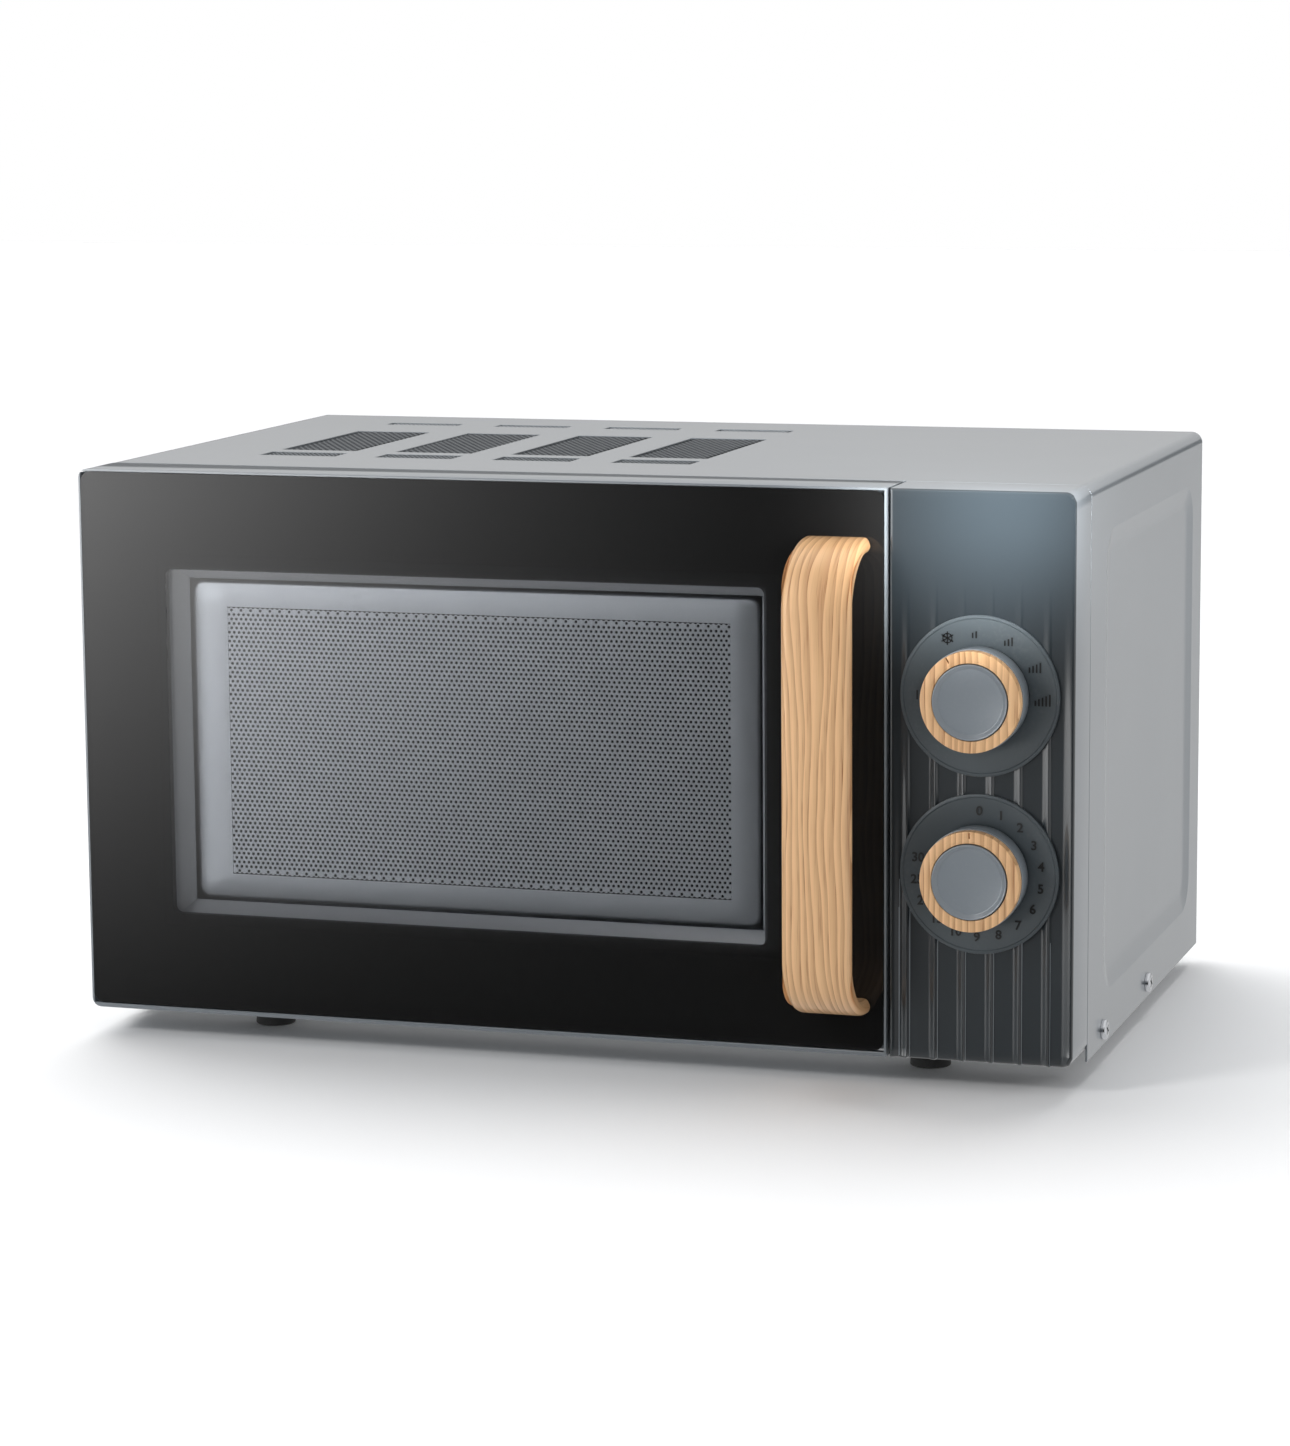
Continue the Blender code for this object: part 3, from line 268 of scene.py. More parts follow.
class FineSkin(Pattern):
    """The slow drift of tone and the fine ripple of paint, plastic and sheet metal."""

    name = "fine_skin"
    takes = (("Vector", "Vector"), ("Colour", "Color"), ("Drift", "Float"), ("Roughness", "Float"),
             ("Scatter", "Float"), ("Grain", "Float"))
    gives = (("Colour", "Color"), ("Roughness", "Float"), ("Height", "Float"))

    def draw(self, wiring: Wiring, given: object, result: object) -> None:
        """Drift the colour slowly, scatter the roughness, and give a fine relief.

        Args:
            wiring: The group's node tree.
            given: Its input sockets, by name.
            result: Its output sockets, by name.
        """
        where = given["Vector"]
        slow = wiring.noise(where, 9.0, 2.0)
        fine = wiring.add("TexNoise")
        fine.inputs["Detail"].default_value = 2.0
        wiring.join(where, fine.inputs["Vector"])
        wiring.join(given["Grain"], fine.inputs["Scale"])
        both = wiring.sum(slow, fine.outputs["Fac"])
        level = wiring.add("MapRange")
        wiring.join(both, level.inputs["Value"])
        level.inputs["From Min"].default_value = 0.6
        level.inputs["From Max"].default_value = 1.4
        dark = wiring.add("Math", operation="SUBTRACT")
        dark.inputs[0].default_value = 1.0
        wiring.join(given["Drift"], dark.inputs[1])
        light = wiring.add("Math", operation="ADD")
        light.inputs[0].default_value = 1.0
        wiring.join(given["Drift"], light.inputs[1])
        tone = wiring.span(level.outputs["Result"], dark.outputs[0], light.outputs[0])
        scaled = wiring.add("VectorMath", operation="SCALE")
        wiring.join(given["Colour"], scaled.inputs[0])
        wiring.join(tone, scaled.inputs["Scale"])
        wiring.join(scaled.outputs[0], result["Colour"])
        offset = wiring.sum(wiring.span(slow, -1.0, 1.0), given["Scatter"], "MULTIPLY")
        wiring.join(wiring.sum(offset, given["Roughness"]), result["Roughness"])
        wiring.join(fine.outputs["Fac"], result["Height"])


class Dust(Pattern):
    """Faint dust and handling marks, as a mask from 0 to 1."""

    name = "faint_dust"
    takes = (("Vector", "Vector"), ("Amount", "Float"))
    gives = (("Mask", "Float"),)

    def draw(self, wiring: Wiring, given: object, result: object) -> None:
        """Keep only the peaks of a coarse pattern broken up by a fine one.

        Args:
            wiring: The group's node tree.
            given: Its input sockets, by name.
            result: Its output sockets, by name.
        """
        coarse = wiring.noise(given["Vector"], 26.0, 5.0)
        fine = wiring.noise(given["Vector"], 640.0, 2.0)
        both = wiring.sum(coarse, fine, "MULTIPLY")
        peaks = wiring.add("MapRange")
        wiring.join(both, peaks.inputs["Value"])
        peaks.inputs["From Min"].default_value = 0.27
        peaks.inputs["From Max"].default_value = 0.42
        wiring.join(wiring.sum(peaks.outputs["Result"], given["Amount"], "MULTIPLY"), result["Mask"])


class WoodGrain(Pattern):
    """Oak: wavy growth lines along the third axis, with pores between them."""

    name = "wood_grain"
    takes = (("Vector", "Vector"), ("Light", "Color"), ("Dark", "Color"))
    gives = (("Colour", "Color"), ("Roughness", "Float"), ("Height", "Float"))

    def draw(self, wiring: Wiring, given: object, result: object) -> None:
        """Bend a set of bands with slow noise, then add pores and a slow change of tone.

        Args:
            wiring: The group's node tree.
            given: Its input sockets, by name.
            result: Its output sockets, by name.
        """
        where = given["Vector"]
        sway = wiring.noise(wiring.stretch(where, (30.0, 30.0, 7.0)), 1.0, 2.0)
        bands = wiring.add("TexWave", wave_type="BANDS", bands_direction="X", wave_profile="SAW")
        bands.inputs["Scale"].default_value = 1.0
        bands.inputs["Distortion"].default_value = 4.5
        bands.inputs["Detail"].default_value = 2.0
        bands.inputs["Detail Scale"].default_value = 1.5
        shifted = wiring.add("VectorMath", operation="ADD")
        push = wiring.add("CombineXYZ")
        wiring.join(wiring.span(sway, -0.9, 0.9), push.inputs["X"])
        wiring.join(wiring.stretch(where, (105.0, 40.0, 1.8)), shifted.inputs[0])
        wiring.join(push.outputs[0], shifted.inputs[1])
        wiring.join(shifted.outputs[0], bands.inputs["Vector"])
        pores = wiring.noise(wiring.stretch(where, (1500.0, 1500.0, 45.0)), 1.0, 3.0)
        sharp = wiring.add("MapRange")
        wiring.join(pores, sharp.inputs["Value"])
        sharp.inputs["From Min"].default_value = 0.52
        sharp.inputs["From Max"].default_value = 0.70
        lines = wiring.add("ValToRGB")
        lines.color_ramp.elements[0].position = 0.15
        lines.color_ramp.elements[0].color = (0, 0, 0, 1)
        lines.color_ramp.elements[1].position = 0.95
        lines.color_ramp.elements[1].color = (1, 1, 1, 1)
        wiring.join(bands.outputs["Fac"], lines.inputs["Fac"])
        band = lines.outputs["Color"]
        fleck = wiring.sum(sharp.outputs["Result"], wiring.span(band, 0.25, 0.9), "MULTIPLY")
        tone = wiring.sum(wiring.span(band, 0.0, 0.5), wiring.span(fleck, 0.0, 0.55))
        board = wiring.noise(wiring.stretch(where, (26.0, 26.0, 5.0)), 1.0, 2.0)
        tone = wiring.sum(tone, wiring.span(board, -0.25, 0.25))
        wiring.join(wiring.mix(tone, given["Light"], given["Dark"]), result["Colour"])
        wiring.join(wiring.span(tone, 0.38, 0.52), result["Roughness"])
        relief = wiring.sum(tone, fleck)
        wiring.join(wiring.span(relief, 1.0, 0.0), result["Height"])


@dataclass(frozen=True)
class Finish:
    """One surface finish.

    Attributes:
        name: The material's name.
        colour: Its sRGB colour from 0 to 255.
        roughness: How broad its highlights are.
        metallic: 1 for bare metal.
        coat: The weight of a clear coat.
        drift: How far the tone wanders.
        scatter: How far the roughness wanders.
        grain: Cells per metre of the fine relief.
        relief: Height of the fine relief in metres.
        dust: Amount of faint dust.
    """

    name: str
    colour: Colour
    roughness: float
    metallic: float = 0.0
    coat: float = 0.0
    drift: float = 0.04
    scatter: float = 0.03
    grain: float = 900.0
    relief: float = 0.00002
    dust: float = 0.03

    def material(self) -> bpy.types.Material:
        """Build the material the first time, and return it each time.

        Returns:
            The material.
        """
        found = bpy.data.materials.get(self.name)
        if found:
            return found
        made = bpy.data.materials.new(self.name)
        made.use_nodes = True
        wiring = Wiring(made.node_tree)
        self.wire(wiring, made.node_tree.nodes["Principled BSDF"])
        return made

    def wire(self, wiring: Wiring, shader: bpy.types.Node) -> None:
        """Feed the shader from the shared patterns.

        Args:
            wiring: The material's node tree.
            shader: Its Principled BSDF.
        """
        where = wiring.add("TexCoord").outputs["Object"]
        skin = FineSkin().place(wiring, where, Colour=(*linear(self.colour), 1), Drift=self.drift,
                                Roughness=self.roughness, Scatter=self.scatter, Grain=self.grain)
        dust = Dust().place(wiring, where, Amount=self.dust)
        colour = wiring.mix(dust.outputs["Mask"], skin.outputs["Colour"], (0.45, 0.44, 0.42))
        wiring.join(colour, shader.inputs["Base Color"])
        wiring.join(skin.outputs["Roughness"], shader.inputs["Roughness"])
        shader.inputs["Metallic"].default_value = self.metallic
        shader.inputs["Coat Weight"].default_value = self.coat
        shader.inputs["Coat Roughness"].default_value = 0.08
        bump(wiring, shader, skin.outputs["Height"], self.relief)


def bump(wiring: Wiring, shader: bpy.types.Node, height: Socket, depth: float) -> None:
    """Give a shader a fine relief.

    Args:
        wiring: The material's node tree.
        shader: The shader whose normal it bends.
        height: The relief, from 0 to 1.
        depth: How high 1 stands, in metres.
    """
    if not depth:
        return
    node = wiring.add("Bump")
    node.inputs["Distance"].default_value = depth
    node.inputs["Strength"].default_value = 1.0
    wiring.join(height, node.inputs["Height"])
    wiring.join(node.outputs["Normal"], shader.inputs["Normal"])


@dataclass(frozen=True)
class Oak(Finish):
    """Lacquered oak, with its grain along the piece's own "grain" attribute or the object's height."""

    light: Colour = (230, 186, 137)
    dark: Colour = (150, 99, 56)
    along_piece: bool = True

    def wire(self, wiring: Wiring, shader: bpy.types.Node) -> None:
        """Feed the shader from the wood grain.

        Args:
            wiring: The material's node tree.
            shader: Its Principled BSDF.
        """
        if self.along_piece:
            where = wiring.add("Attribute", attribute_name="grain").outputs["Vector"]
        else:
            where = wiring.add("TexCoord").outputs["Object"]
        wood = WoodGrain().place(wiring, where, Light=(*linear(self.light), 1), Dark=(*linear(self.dark), 1))
        wiring.join(wood.outputs["Colour"], shader.inputs["Base Color"])
        wiring.join(wood.outputs["Roughness"], shader.inputs["Roughness"])
        shader.inputs["Coat Weight"].default_value = self.coat
        shader.inputs["Coat Roughness"].default_value = 0.22
        bump(wiring, shader, wood.outputs["Height"], self.relief)


@dataclass(frozen=True)
class Brushed(Finish):
    """Sheet steel with fine rolling lines along one axis."""

    stretch: Spot = (3.0, 900.0, 900.0)

    def wire(self, wiring: Wiring, shader: bpy.types.Node) -> None:
        """Feed the shader from stretched noise.

        Args:
            wiring: The material's node tree.
            shader: Its Principled BSDF.
        """
        where = wiring.add("TexCoord").outputs["Object"]
        lines = wiring.noise(wiring.stretch(where, self.stretch), 1.0, 3.0)
        skin = FineSkin().place(wiring, where, Colour=(*linear(self.colour), 1), Drift=self.drift,
                                Roughness=self.roughness, Scatter=self.scatter, Grain=self.grain)
        darker = wiring.span(lines, 0.86, 1.1)
        scaled = wiring.add("VectorMath", operation="SCALE")
        wiring.join(skin.outputs["Colour"], scaled.inputs[0])
        wiring.join(darker, scaled.inputs["Scale"])
        wiring.join(scaled.outputs[0], shader.inputs["Base Color"])
        rough = wiring.sum(wiring.span(lines, -0.06, 0.06), skin.outputs["Roughness"])
        wiring.join(rough, shader.inputs["Roughness"])
        shader.inputs["Metallic"].default_value = self.metallic
        bump(wiring, shader, lines, self.relief)


@dataclass(frozen=True)
class Glass(Finish):
    """Tinted or printed glass, seen through by its alpha."""

    alpha: float = 1.0
    index: float = 1.52

    def wire(self, wiring: Wiring, shader: bpy.types.Node) -> None:
        """Give a polished surface with faint smears, and set how much is seen through it.

        Args:
            wiring: The material's node tree.
            shader: Its Principled BSDF.
        """
        super().wire(wiring, shader)
        shader.inputs["Alpha"].default_value = self.alpha
        shader.inputs["IOR"].default_value = self.index


class Finishes:
    """Every finish that the oven wears."""

    casing = Finish("casing_enamel", (120, 126, 131), 0.34, coat=0.8, drift=0.02, grain=1300.0,
                    relief=0.000006)
    moulding = Finish("moulded_panel", (32, 38, 42), 0.36, coat=1.0, drift=0.03, relief=0.000008, dust=0.0)
    dial = Finish("dial_plate", (66, 73, 77), 0.42, drift=0.03, grain=1800.0, relief=0.000008)
    knob = Finish("knob_shell", (122, 129, 135), 0.32, coat=0.6, drift=0.02, grain=1800.0, relief=0.000005)
    print = Finish("black_print", (6, 6, 7), 0.6, dust=0.0)
    glass = Glass("black_glass", (9, 9, 10), 0.035, drift=0.0, scatter=0.01, relief=0.0, dust=0.0)
    window = Glass("window_glass", (10, 10, 11), 0.03, drift=0.0, scatter=0.01, relief=0.0, dust=0.0,
                   alpha=0.2, index=2.6)
    oak = Oak("oak_handle", (225, 180, 130), 0.4, coat=0.25, relief=0.000008)
    oak_ring = Oak("oak_ring", (225, 180, 130), 0.4, coat=0.25, relief=0.000008, along_piece=False)
    screen = Finish("screen_paint", (178, 183, 190), 0.33, metallic=0.8, drift=0.02, relief=0.0, dust=0.0)
    film = Glass("painted_shade_film", (14, 15, 16), 0.4, drift=0.0, relief=0.0, dust=0.0, alpha=0.95)
    surround = Finish("window_surround", (150, 154, 160), 0.3, coat=0.5, drift=0.02, relief=0.000004,
                      dust=0.0)
    zinc = Brushed("zinc_steel", (172, 175, 178), 0.34, metallic=1.0, grain=500.0, relief=0.000006)
    cavity = Finish("cavity_enamel", (150, 154, 156), 0.38, coat=0.2, grain=2200.0, relief=0.00001)
    chrome = Finish("bright_chrome", (212, 214, 218), 0.14, metallic=1.0, drift=0.01, relief=0.0, dust=0.1)
    rubber = Finish("black_rubber", (26, 26, 27), 0.72, drift=0.1, grain=2600.0, relief=0.00004, dust=0.5)
    dark = Finish("black_plastic", (30, 30, 32), 0.48, drift=0.08, grain=1500.0, relief=0.00002, dust=0.4)
    # Painted shade: the front and rear vent strips are the casing's grey darkened for the shade on their
    # sloping far walls, the front ones more than the rear ones.
    front_vent_shade = Finish("vent_strip", (82, 87, 91), 0.45, relief=0.000008, dust=0.0)
    rear_vent_shade = Finish("rear_vent_strip", (106, 111, 115), 0.4, relief=0.000008, dust=0.0)
    # Painted shade: the middle vent fields are dark grey for the shade seen in and below their openings.
    mesh = Finish("vent_painted_shade", (58, 62, 66), 0.5, drift=0.04, grain=1500.0, relief=0.00001)
    white = Finish("white_plastic", (226, 226, 220), 0.42, drift=0.03, grain=1200.0, relief=0.00001)
    plate = Glass("turntable_glass", (205, 222, 220), 0.06, drift=0.0, relief=0.00002, dust=0.05,
                  alpha=0.38)
    fins = Brushed("aluminium_fins", (206, 208, 210), 0.3, metallic=1.0, relief=0.000008)
    copper = Brushed("varnished_copper", (176, 98, 52), 0.32, metallic=0.85, stretch=(900.0, 2.0, 900.0))
    core = Brushed("laminations", (78, 80, 84), 0.5, metallic=0.7, stretch=(1600.0, 2.0, 2.0),
                   relief=0.00003)
    mica = Finish("mica_sheet", (176, 160, 130), 0.5, drift=0.12, grain=700.0, relief=0.00002)


# The bench: short calls around the modelling tools


class Blank:
    """A mesh piece on the bench, shaped with edit-mode tools and modifiers."""

    def __init__(self, obj: bpy.types.Object) -> None:
        """Take up an object that is already there."""
        self.obj = obj

    @staticmethod
    def clear() -> None:
        """Deselect everything, so that a tool acts on one piece only."""
        bpy.ops.object.select_all(action="DESELECT")

    @classmethod
    def taken(cls, name: str) -> "Blank":
        """Name the newest object, settle its place into its mesh, and take it up.

        Args:
            name: The name.

        Returns:
            The blank.
        """
        obj = bpy.context.object
        obj.name = name
        obj.data.name = name
        bpy.ops.object.transform_apply(location=True, rotation=True, scale=True)
        return cls(obj)

    @classmethod
    def block(cls, name: str, x: Span, depth: Span, z: Span) -> "Blank":
        """Add a box.

        Args:
            name: The piece's name.
            x: Its span across the oven.
            depth: Its span behind the glass plane.
            z: Its span of height.

        Returns:
            The blank.
        """
        cls.clear()
        low = Vector((x[0], FRONT + depth[0], z[0]))
        high = Vector((x[1], FRONT + depth[1], z[1]))
        bpy.ops.mesh.primitive_cube_add(size=1, location=(low + high) / 2, scale=high - low)
        return cls.taken(name)

    @classmethod
    def rod(cls, name: str, centre: Span, radius: float, depth: Span, sides: int = 96) -> "Blank":
        """Add a cylinder that points at the viewer.

        Args:
            name: The piece's name.
            centre: Its axis, as x and z.
            radius: Its radius.
            depth: Its span behind the glass plane.
            sides: How many sides it has.

        Returns:
            The blank.
        """
        cls.clear()
        middle = (centre[0], FRONT + sum(depth) / 2, centre[1])
        bpy.ops.mesh.primitive_cylinder_add(vertices=sides, radius=radius, depth=depth[1] - depth[0],
                                            location=middle, rotation=(math.pi / 2, 0, 0))
        return cls.taken(name)

    @classmethod
    def post(cls, name: str, centre: Span, radius: float, z: Span, sides: int = 48) -> "Blank":
        """Add an upright cylinder, whose centre is given as x and depth.

        Args:
            name: The piece's name.
            centre: Its axis, as x and depth.
            radius: Its radius.
            z: Its span of height.
            sides: How many sides it has.

        Returns:
            The blank.
        """
        cls.clear()
        middle = (centre[0], FRONT + centre[1], sum(z) / 2)
        bpy.ops.mesh.primitive_cylinder_add(vertices=sides, radius=radius, depth=z[1] - z[0], location=middle)
        return cls.taken(name)

    @classmethod
    def drawn(cls, curve: bpy.types.Curve) -> "Blank":
        """Turn a curve into a mesh piece of the same name.

        Args:
            curve: The curve, with its bevel.

        Returns:
            The blank.
        """
        obj = bpy.data.objects.new(curve.name, curve)
        bpy.context.scene.collection.objects.link(obj)
        cls(obj).pick()
        bpy.ops.object.convert(target="MESH")
        return cls(bpy.context.object)

    def pick(self) -> None:
        """Select this piece only, and make it the active one."""
        self.clear()
        self.obj.select_set(True)
        bpy.context.view_layer.objects.active = self.obj

    @contextmanager
    def edit(self) -> Iterator[None]:
        """Open the piece in edit mode, and close it again.

        Returns:
            The open session, for a with statement.
        """
        self.pick()
        bpy.ops.object.mode_set(mode="EDIT")
        bpy.ops.mesh.select_all(action="DESELECT")
        yield
        bpy.ops.object.mode_set(mode="OBJECT")

    def faces(self, test: Test) -> None:
        """Select the faces whose middle and normal pass a test.

        Args:
            test: The test.
        """
        bpy.ops.mesh.select_mode(type="FACE")
        bpy.ops.mesh.select_all(action="DESELECT")
        shape = bmesh.from_edit_mesh(self.obj.data)
        for face in shape.faces:
            face.select_set(bool(test(face.calc_center_median(), face.normal)))
        bmesh.update_edit_mesh(self.obj.data)

    def edges(self, test: Test) -> None:
        """Select the edges whose middle and direction pass a test.

        Args:
            test: The test.
        """
        bpy.ops.mesh.select_mode(type="EDGE")
        bpy.ops.mesh.select_all(action="DESELECT")
        shape = bmesh.from_edit_mesh(self.obj.data)
        for edge in shape.edges:
            first, second = (vert.co for vert in edge.verts)
            if (second - first).length > 1e-9:
                edge.select_set(bool(test((first + second) / 2, (second - first).normalized())))
        bmesh.update_edit_mesh(self.obj.data)

    def cut(self, test: Test, normal: Spot, places: Sequence[float]) -> None:
        """Cut the faces that pass a test along parallel planes.

        Args:
            test: Which faces are cut.
            normal: The planes' normal, an axis.
            places: Where the planes lie along it.
        """
        for place in places:
            self.faces(test)
            bpy.ops.mesh.bisect(plane_co=Vector(normal) * place, plane_no=normal)

    def modify(self, kind: str, **settings: object) -> None:
        """Add a modifier and apply it.

        Args:
            kind: The modifier's type.
            **settings: Its settings.
        """
        self.pick()
        modifier = self.obj.modifiers.new(kind, kind)
        for key, value in settings.items():
            setattr(modifier, key, value)
        bpy.ops.object.modifier_apply(modifier=modifier.name)

    def repeat(self, count: int, step: Spot) -> None:
        """Copy the piece along a line, and join the copies at their shared points."""
        self.modify("ARRAY", count=count, use_relative_offset=False, use_constant_offset=True,
                    constant_offset_displace=step, use_merge_vertices=True, merge_threshold=1e-6)

    def ease(self, width: float, segments: int = 3, angle: float = 40.0) -> None:
        """Round the edges sharper than an angle."""
        self.modify("BEVEL", width=width, segments=segments, limit_method="ANGLE",
                    angle_limit=math.radians(angle), harden_normals=False)

    def cut_out(self, tool: "Blank") -> None:
        """Remove another blank's volume from this one, and the blank with it."""
        self.modify("BOOLEAN", operation="DIFFERENCE", object=tool.obj, solver="EXACT")
        bpy.data.objects.remove(tool.obj)

    def absorb(self, *others: "Blank") -> None:
        """Join other blanks into this object.

        Args:
            *others: The blanks.
        """
        self.pick()
        for other in others:
            other.obj.select_set(True)
        bpy.ops.object.join()

    def smooth(self, angle: float = 35.0) -> None:
        """Shade the piece smooth across edges flatter than an angle."""
        self.pick()
        bpy.ops.object.shade_smooth_by_angle(angle=math.radians(angle))

    def crease(self, low: float, high: float) -> None:
        """Keep the bends between two angles, in degrees, crisp in the shading.

        Args:
            low: The smaller angle.
            high: The larger angle.
        """
        shape = bmesh.new()
        shape.from_mesh(self.obj.data)
        for edge in shape.edges:
            if math.radians(low) < edge.calc_face_angle(0.0) < math.radians(high):
                edge.smooth = False
        shape.to_mesh(self.obj.data)
        shape.free()

    def fit(self, body: Body, finish: Finish, slot: Slot, *stands_for: str, smooth: float = 35.0) -> "Blank":
        """Finish the piece: shade it, dress it, and let it ride on its body.

        Args:
            body: The body that it rides on.
            finish: Its finish.
            slot: The record's slot for that finish; not used.
            *stands_for: The frame's nodes that it replaces.
            smooth: The sharpest angle that is shaded smooth, in degrees.

        Returns:
            This blank.
        """
        self.smooth(smooth)
        if not self.obj.data.materials:
            self.obj.data.materials.append(finish.material())
        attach(self.obj, body.value)
        if stands_for:
            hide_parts(*stands_for)
        log.info("%s: %d faces on %s", self.obj.name, len(self.obj.data.polygons), body.value)
        return self


def near(value: float, target: float, within: float = 1e-5) -> bool:
    """Tell whether two lengths are the same."""
    return abs(value - target) < within


def inside(value: float, span: Span) -> bool:
    """Tell whether a length lies in a span."""
    return span[0] < value < span[1]


def eased(share: float) -> float:
    """Hold a share between 0 and 1, and ease it at both ends."""
    held = min(max(share, 0.0), 1.0)
    return held * held * (3 - 2 * held)


def depth_of(point: Vector) -> float:
    """Give a point's depth behind the glass plane."""
    return point.y - FRONT


# The casing


@dataclass(frozen=True)
class Vent:
    """One perforated field in each vent column.

    Attributes:
        word: Its place in the column.
        depth: Its span behind the glass plane.
        pitch: The distance between its holes.
        hole: The radius of its holes.
        finish: The finish of its plate; its darker grey is painted shade.
    """

    word: str
    depth: Span
    pitch: float
    hole: float
    finish: Finish


@dataclass
class Wrapper:
    """The folded sheet over the top and sides, with pressed side panels and vent fields."""

    node: str = "outer_wrapper"
    fold: float = 0.005
    gauge: float = 0.001
    vent_left: float = -0.1675
    vent_pitch: float = 0.0549
    vent_width: float = 0.036
    vent_count: int = 4
    vents: tuple[Vent, ...] = (
        # The plates' greys are painted shade: darker at the front strips, lighter at the rear strips, darkest
        # in the middle fields.
        Vent("front", (0.0780, 0.0942), 0.0022, 0.00084, Finishes.front_vent_shade),
        Vent("middle", (0.1040, 0.2000), 0.0032, 0.0011, Finishes.mesh),
        Vent("rear", (0.2360, 0.2462), 0.0022, 0.00060, Finishes.rear_vent_shade))
    side_margin: float = 0.022
    side_front: float = 0.0620
    slope: float = 0.0085
    press: float = 0.0016
    panel_corner: float = 0.016
    panel_foot: float = 0.0022
    cut_edge: float = 0.0003
    plate_wall: float = 0.0006
    plate_drop: float = 0.0004
    plate_gap: Span = (0.0004, 0.0003)

    def columns(self) -> list[Span]:
        """Give each vent column's span across the oven."""
        starts = [self.vent_left + index * self.vent_pitch for index in range(self.vent_count)]
        return [(start, start + self.vent_width) for start in starts]

    def build(self) -> None:
        """Make the wrapper and its vent grilles."""
        low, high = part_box(self.node)
        span = (depth_of(low), depth_of(high))
        sheet = Blank.block("casing_wrapper", (low.x, high.x), span, (low.z, high.z))
        with sheet.edit():
            sheet.faces(lambda at, n: abs(n.y) > 0.9 or n.z < -0.9)
            bpy.ops.mesh.delete(type="FACE")
            sheet.edges(lambda at, along: abs(along.y) > 0.9 and near(at.z, high.z))
            bpy.ops.mesh.bevel(offset=self.fold, segments=8, affect="EDGES")
            self.press_sides(sheet, low, high)
            self.open_vents(sheet)
        self.thicken(sheet)
        sheet.fit(Body.CASING, Finishes.casing, Slot.ENAMEL, self.node, smooth=30.0)
        sheet.crease(2.0, 11.0)
        sheet.crease(20.0, 60.0)
        self.grilles(high)

    def press_sides(self, sheet: Blank, low: Vector, high: Vector) -> None:
        """Press a shallow panel with sloping sides into each side.

        Args:
            sheet: The wrapper, in edit mode.
            low: The wrapper's lowest corner.
            high: The wrapper's highest corner.
        """
        margin = self.side_margin
        for side in (-1, 1):
            def on_side(at: Vector, n: Vector) -> bool:
                """Pick the side's level faces."""
                return n.x * side > 0.99

            sheet.cut(on_side, (0, 1, 0), (FRONT + self.side_front, high.y - margin))
            sheet.cut(on_side, (0, 0, 1), (low.z + margin, high.z - margin))

            def panel(at: Vector, n: Vector) -> bool:
                """Pick the face in the middle of the side."""
                middle = abs(at.z - (low.z + high.z) / 2) < 0.02
                return on_side(at, n) and middle and abs(at.y) < 0.05
            sheet.faces(panel)
            bpy.ops.mesh.inset(thickness=0.0002)
            bpy.ops.mesh.select_mode(type="VERT")
            bpy.ops.mesh.bevel(offset=self.panel_corner, segments=8, affect="VERTICES")
            sheet.faces(panel)
            bpy.ops.mesh.inset(thickness=self.slope, depth=-self.press)
            sheet.edges(lambda at, along: near(at.x * side, high.x - self.press, 1e-6))
            bpy.ops.mesh.bevel(offset=self.panel_foot, segments=4, affect="EDGES")

    def open_vents(self, sheet: Blank) -> None:
        """Open the vent fields in the top.

        Args:
            sheet: The wrapper, in edit mode.
        """
        def on_top(at: Vector, n: Vector) -> bool:
            """Pick the top's level faces."""
            return n.z > 0.99
        columns, fields = self.columns(), [vent.depth for vent in self.vents]
        sheet.cut(on_top, (1, 0, 0), [x for column in columns for x in column])
        sheet.cut(on_top, (0, 1, 0), [FRONT + end for span in fields for end in span])

        def opened(at: Vector, n: Vector) -> bool:
            """Pick the faces inside the vent fields."""
            in_column = any(inside(at.x, column) for column in columns)
            return on_top(at, n) and in_column and any(inside(depth_of(at), span) for span in fields)
        sheet.faces(opened)
        bpy.ops.mesh.delete(type="FACE")

    def thicken(self, sheet: Blank) -> None:
        """Give the sheet its thickness inwards, and round its cut edges."""
        sheet.modify("SOLIDIFY", thickness=self.gauge, offset=-1.0, use_even_offset=True)
        sheet.ease(self.cut_edge, 2, 50.0)

    def grilles(self, high: Vector) -> None:
        """Make the perforated plate that fills each vent field, just below the top; the plates' darker greys
        are painted shade.

        Args:
            high: The wrapper's highest corner.
        """
        side, end = self.plate_gap
        for index, column in enumerate(self.columns()):
            for vent in self.vents:
                grille = Perforation(vent.pitch, vent.hole, self.plate_wall).plate(
                    f"vent_grille_{vent.word}_{index + 1}", (column[0] + side, column[1] - side),
                    (vent.depth[0] + end, vent.depth[1] - end), high.z - self.plate_drop)
                grille.fit(Body.CASING, vent.finish, Slot.ENAMEL)


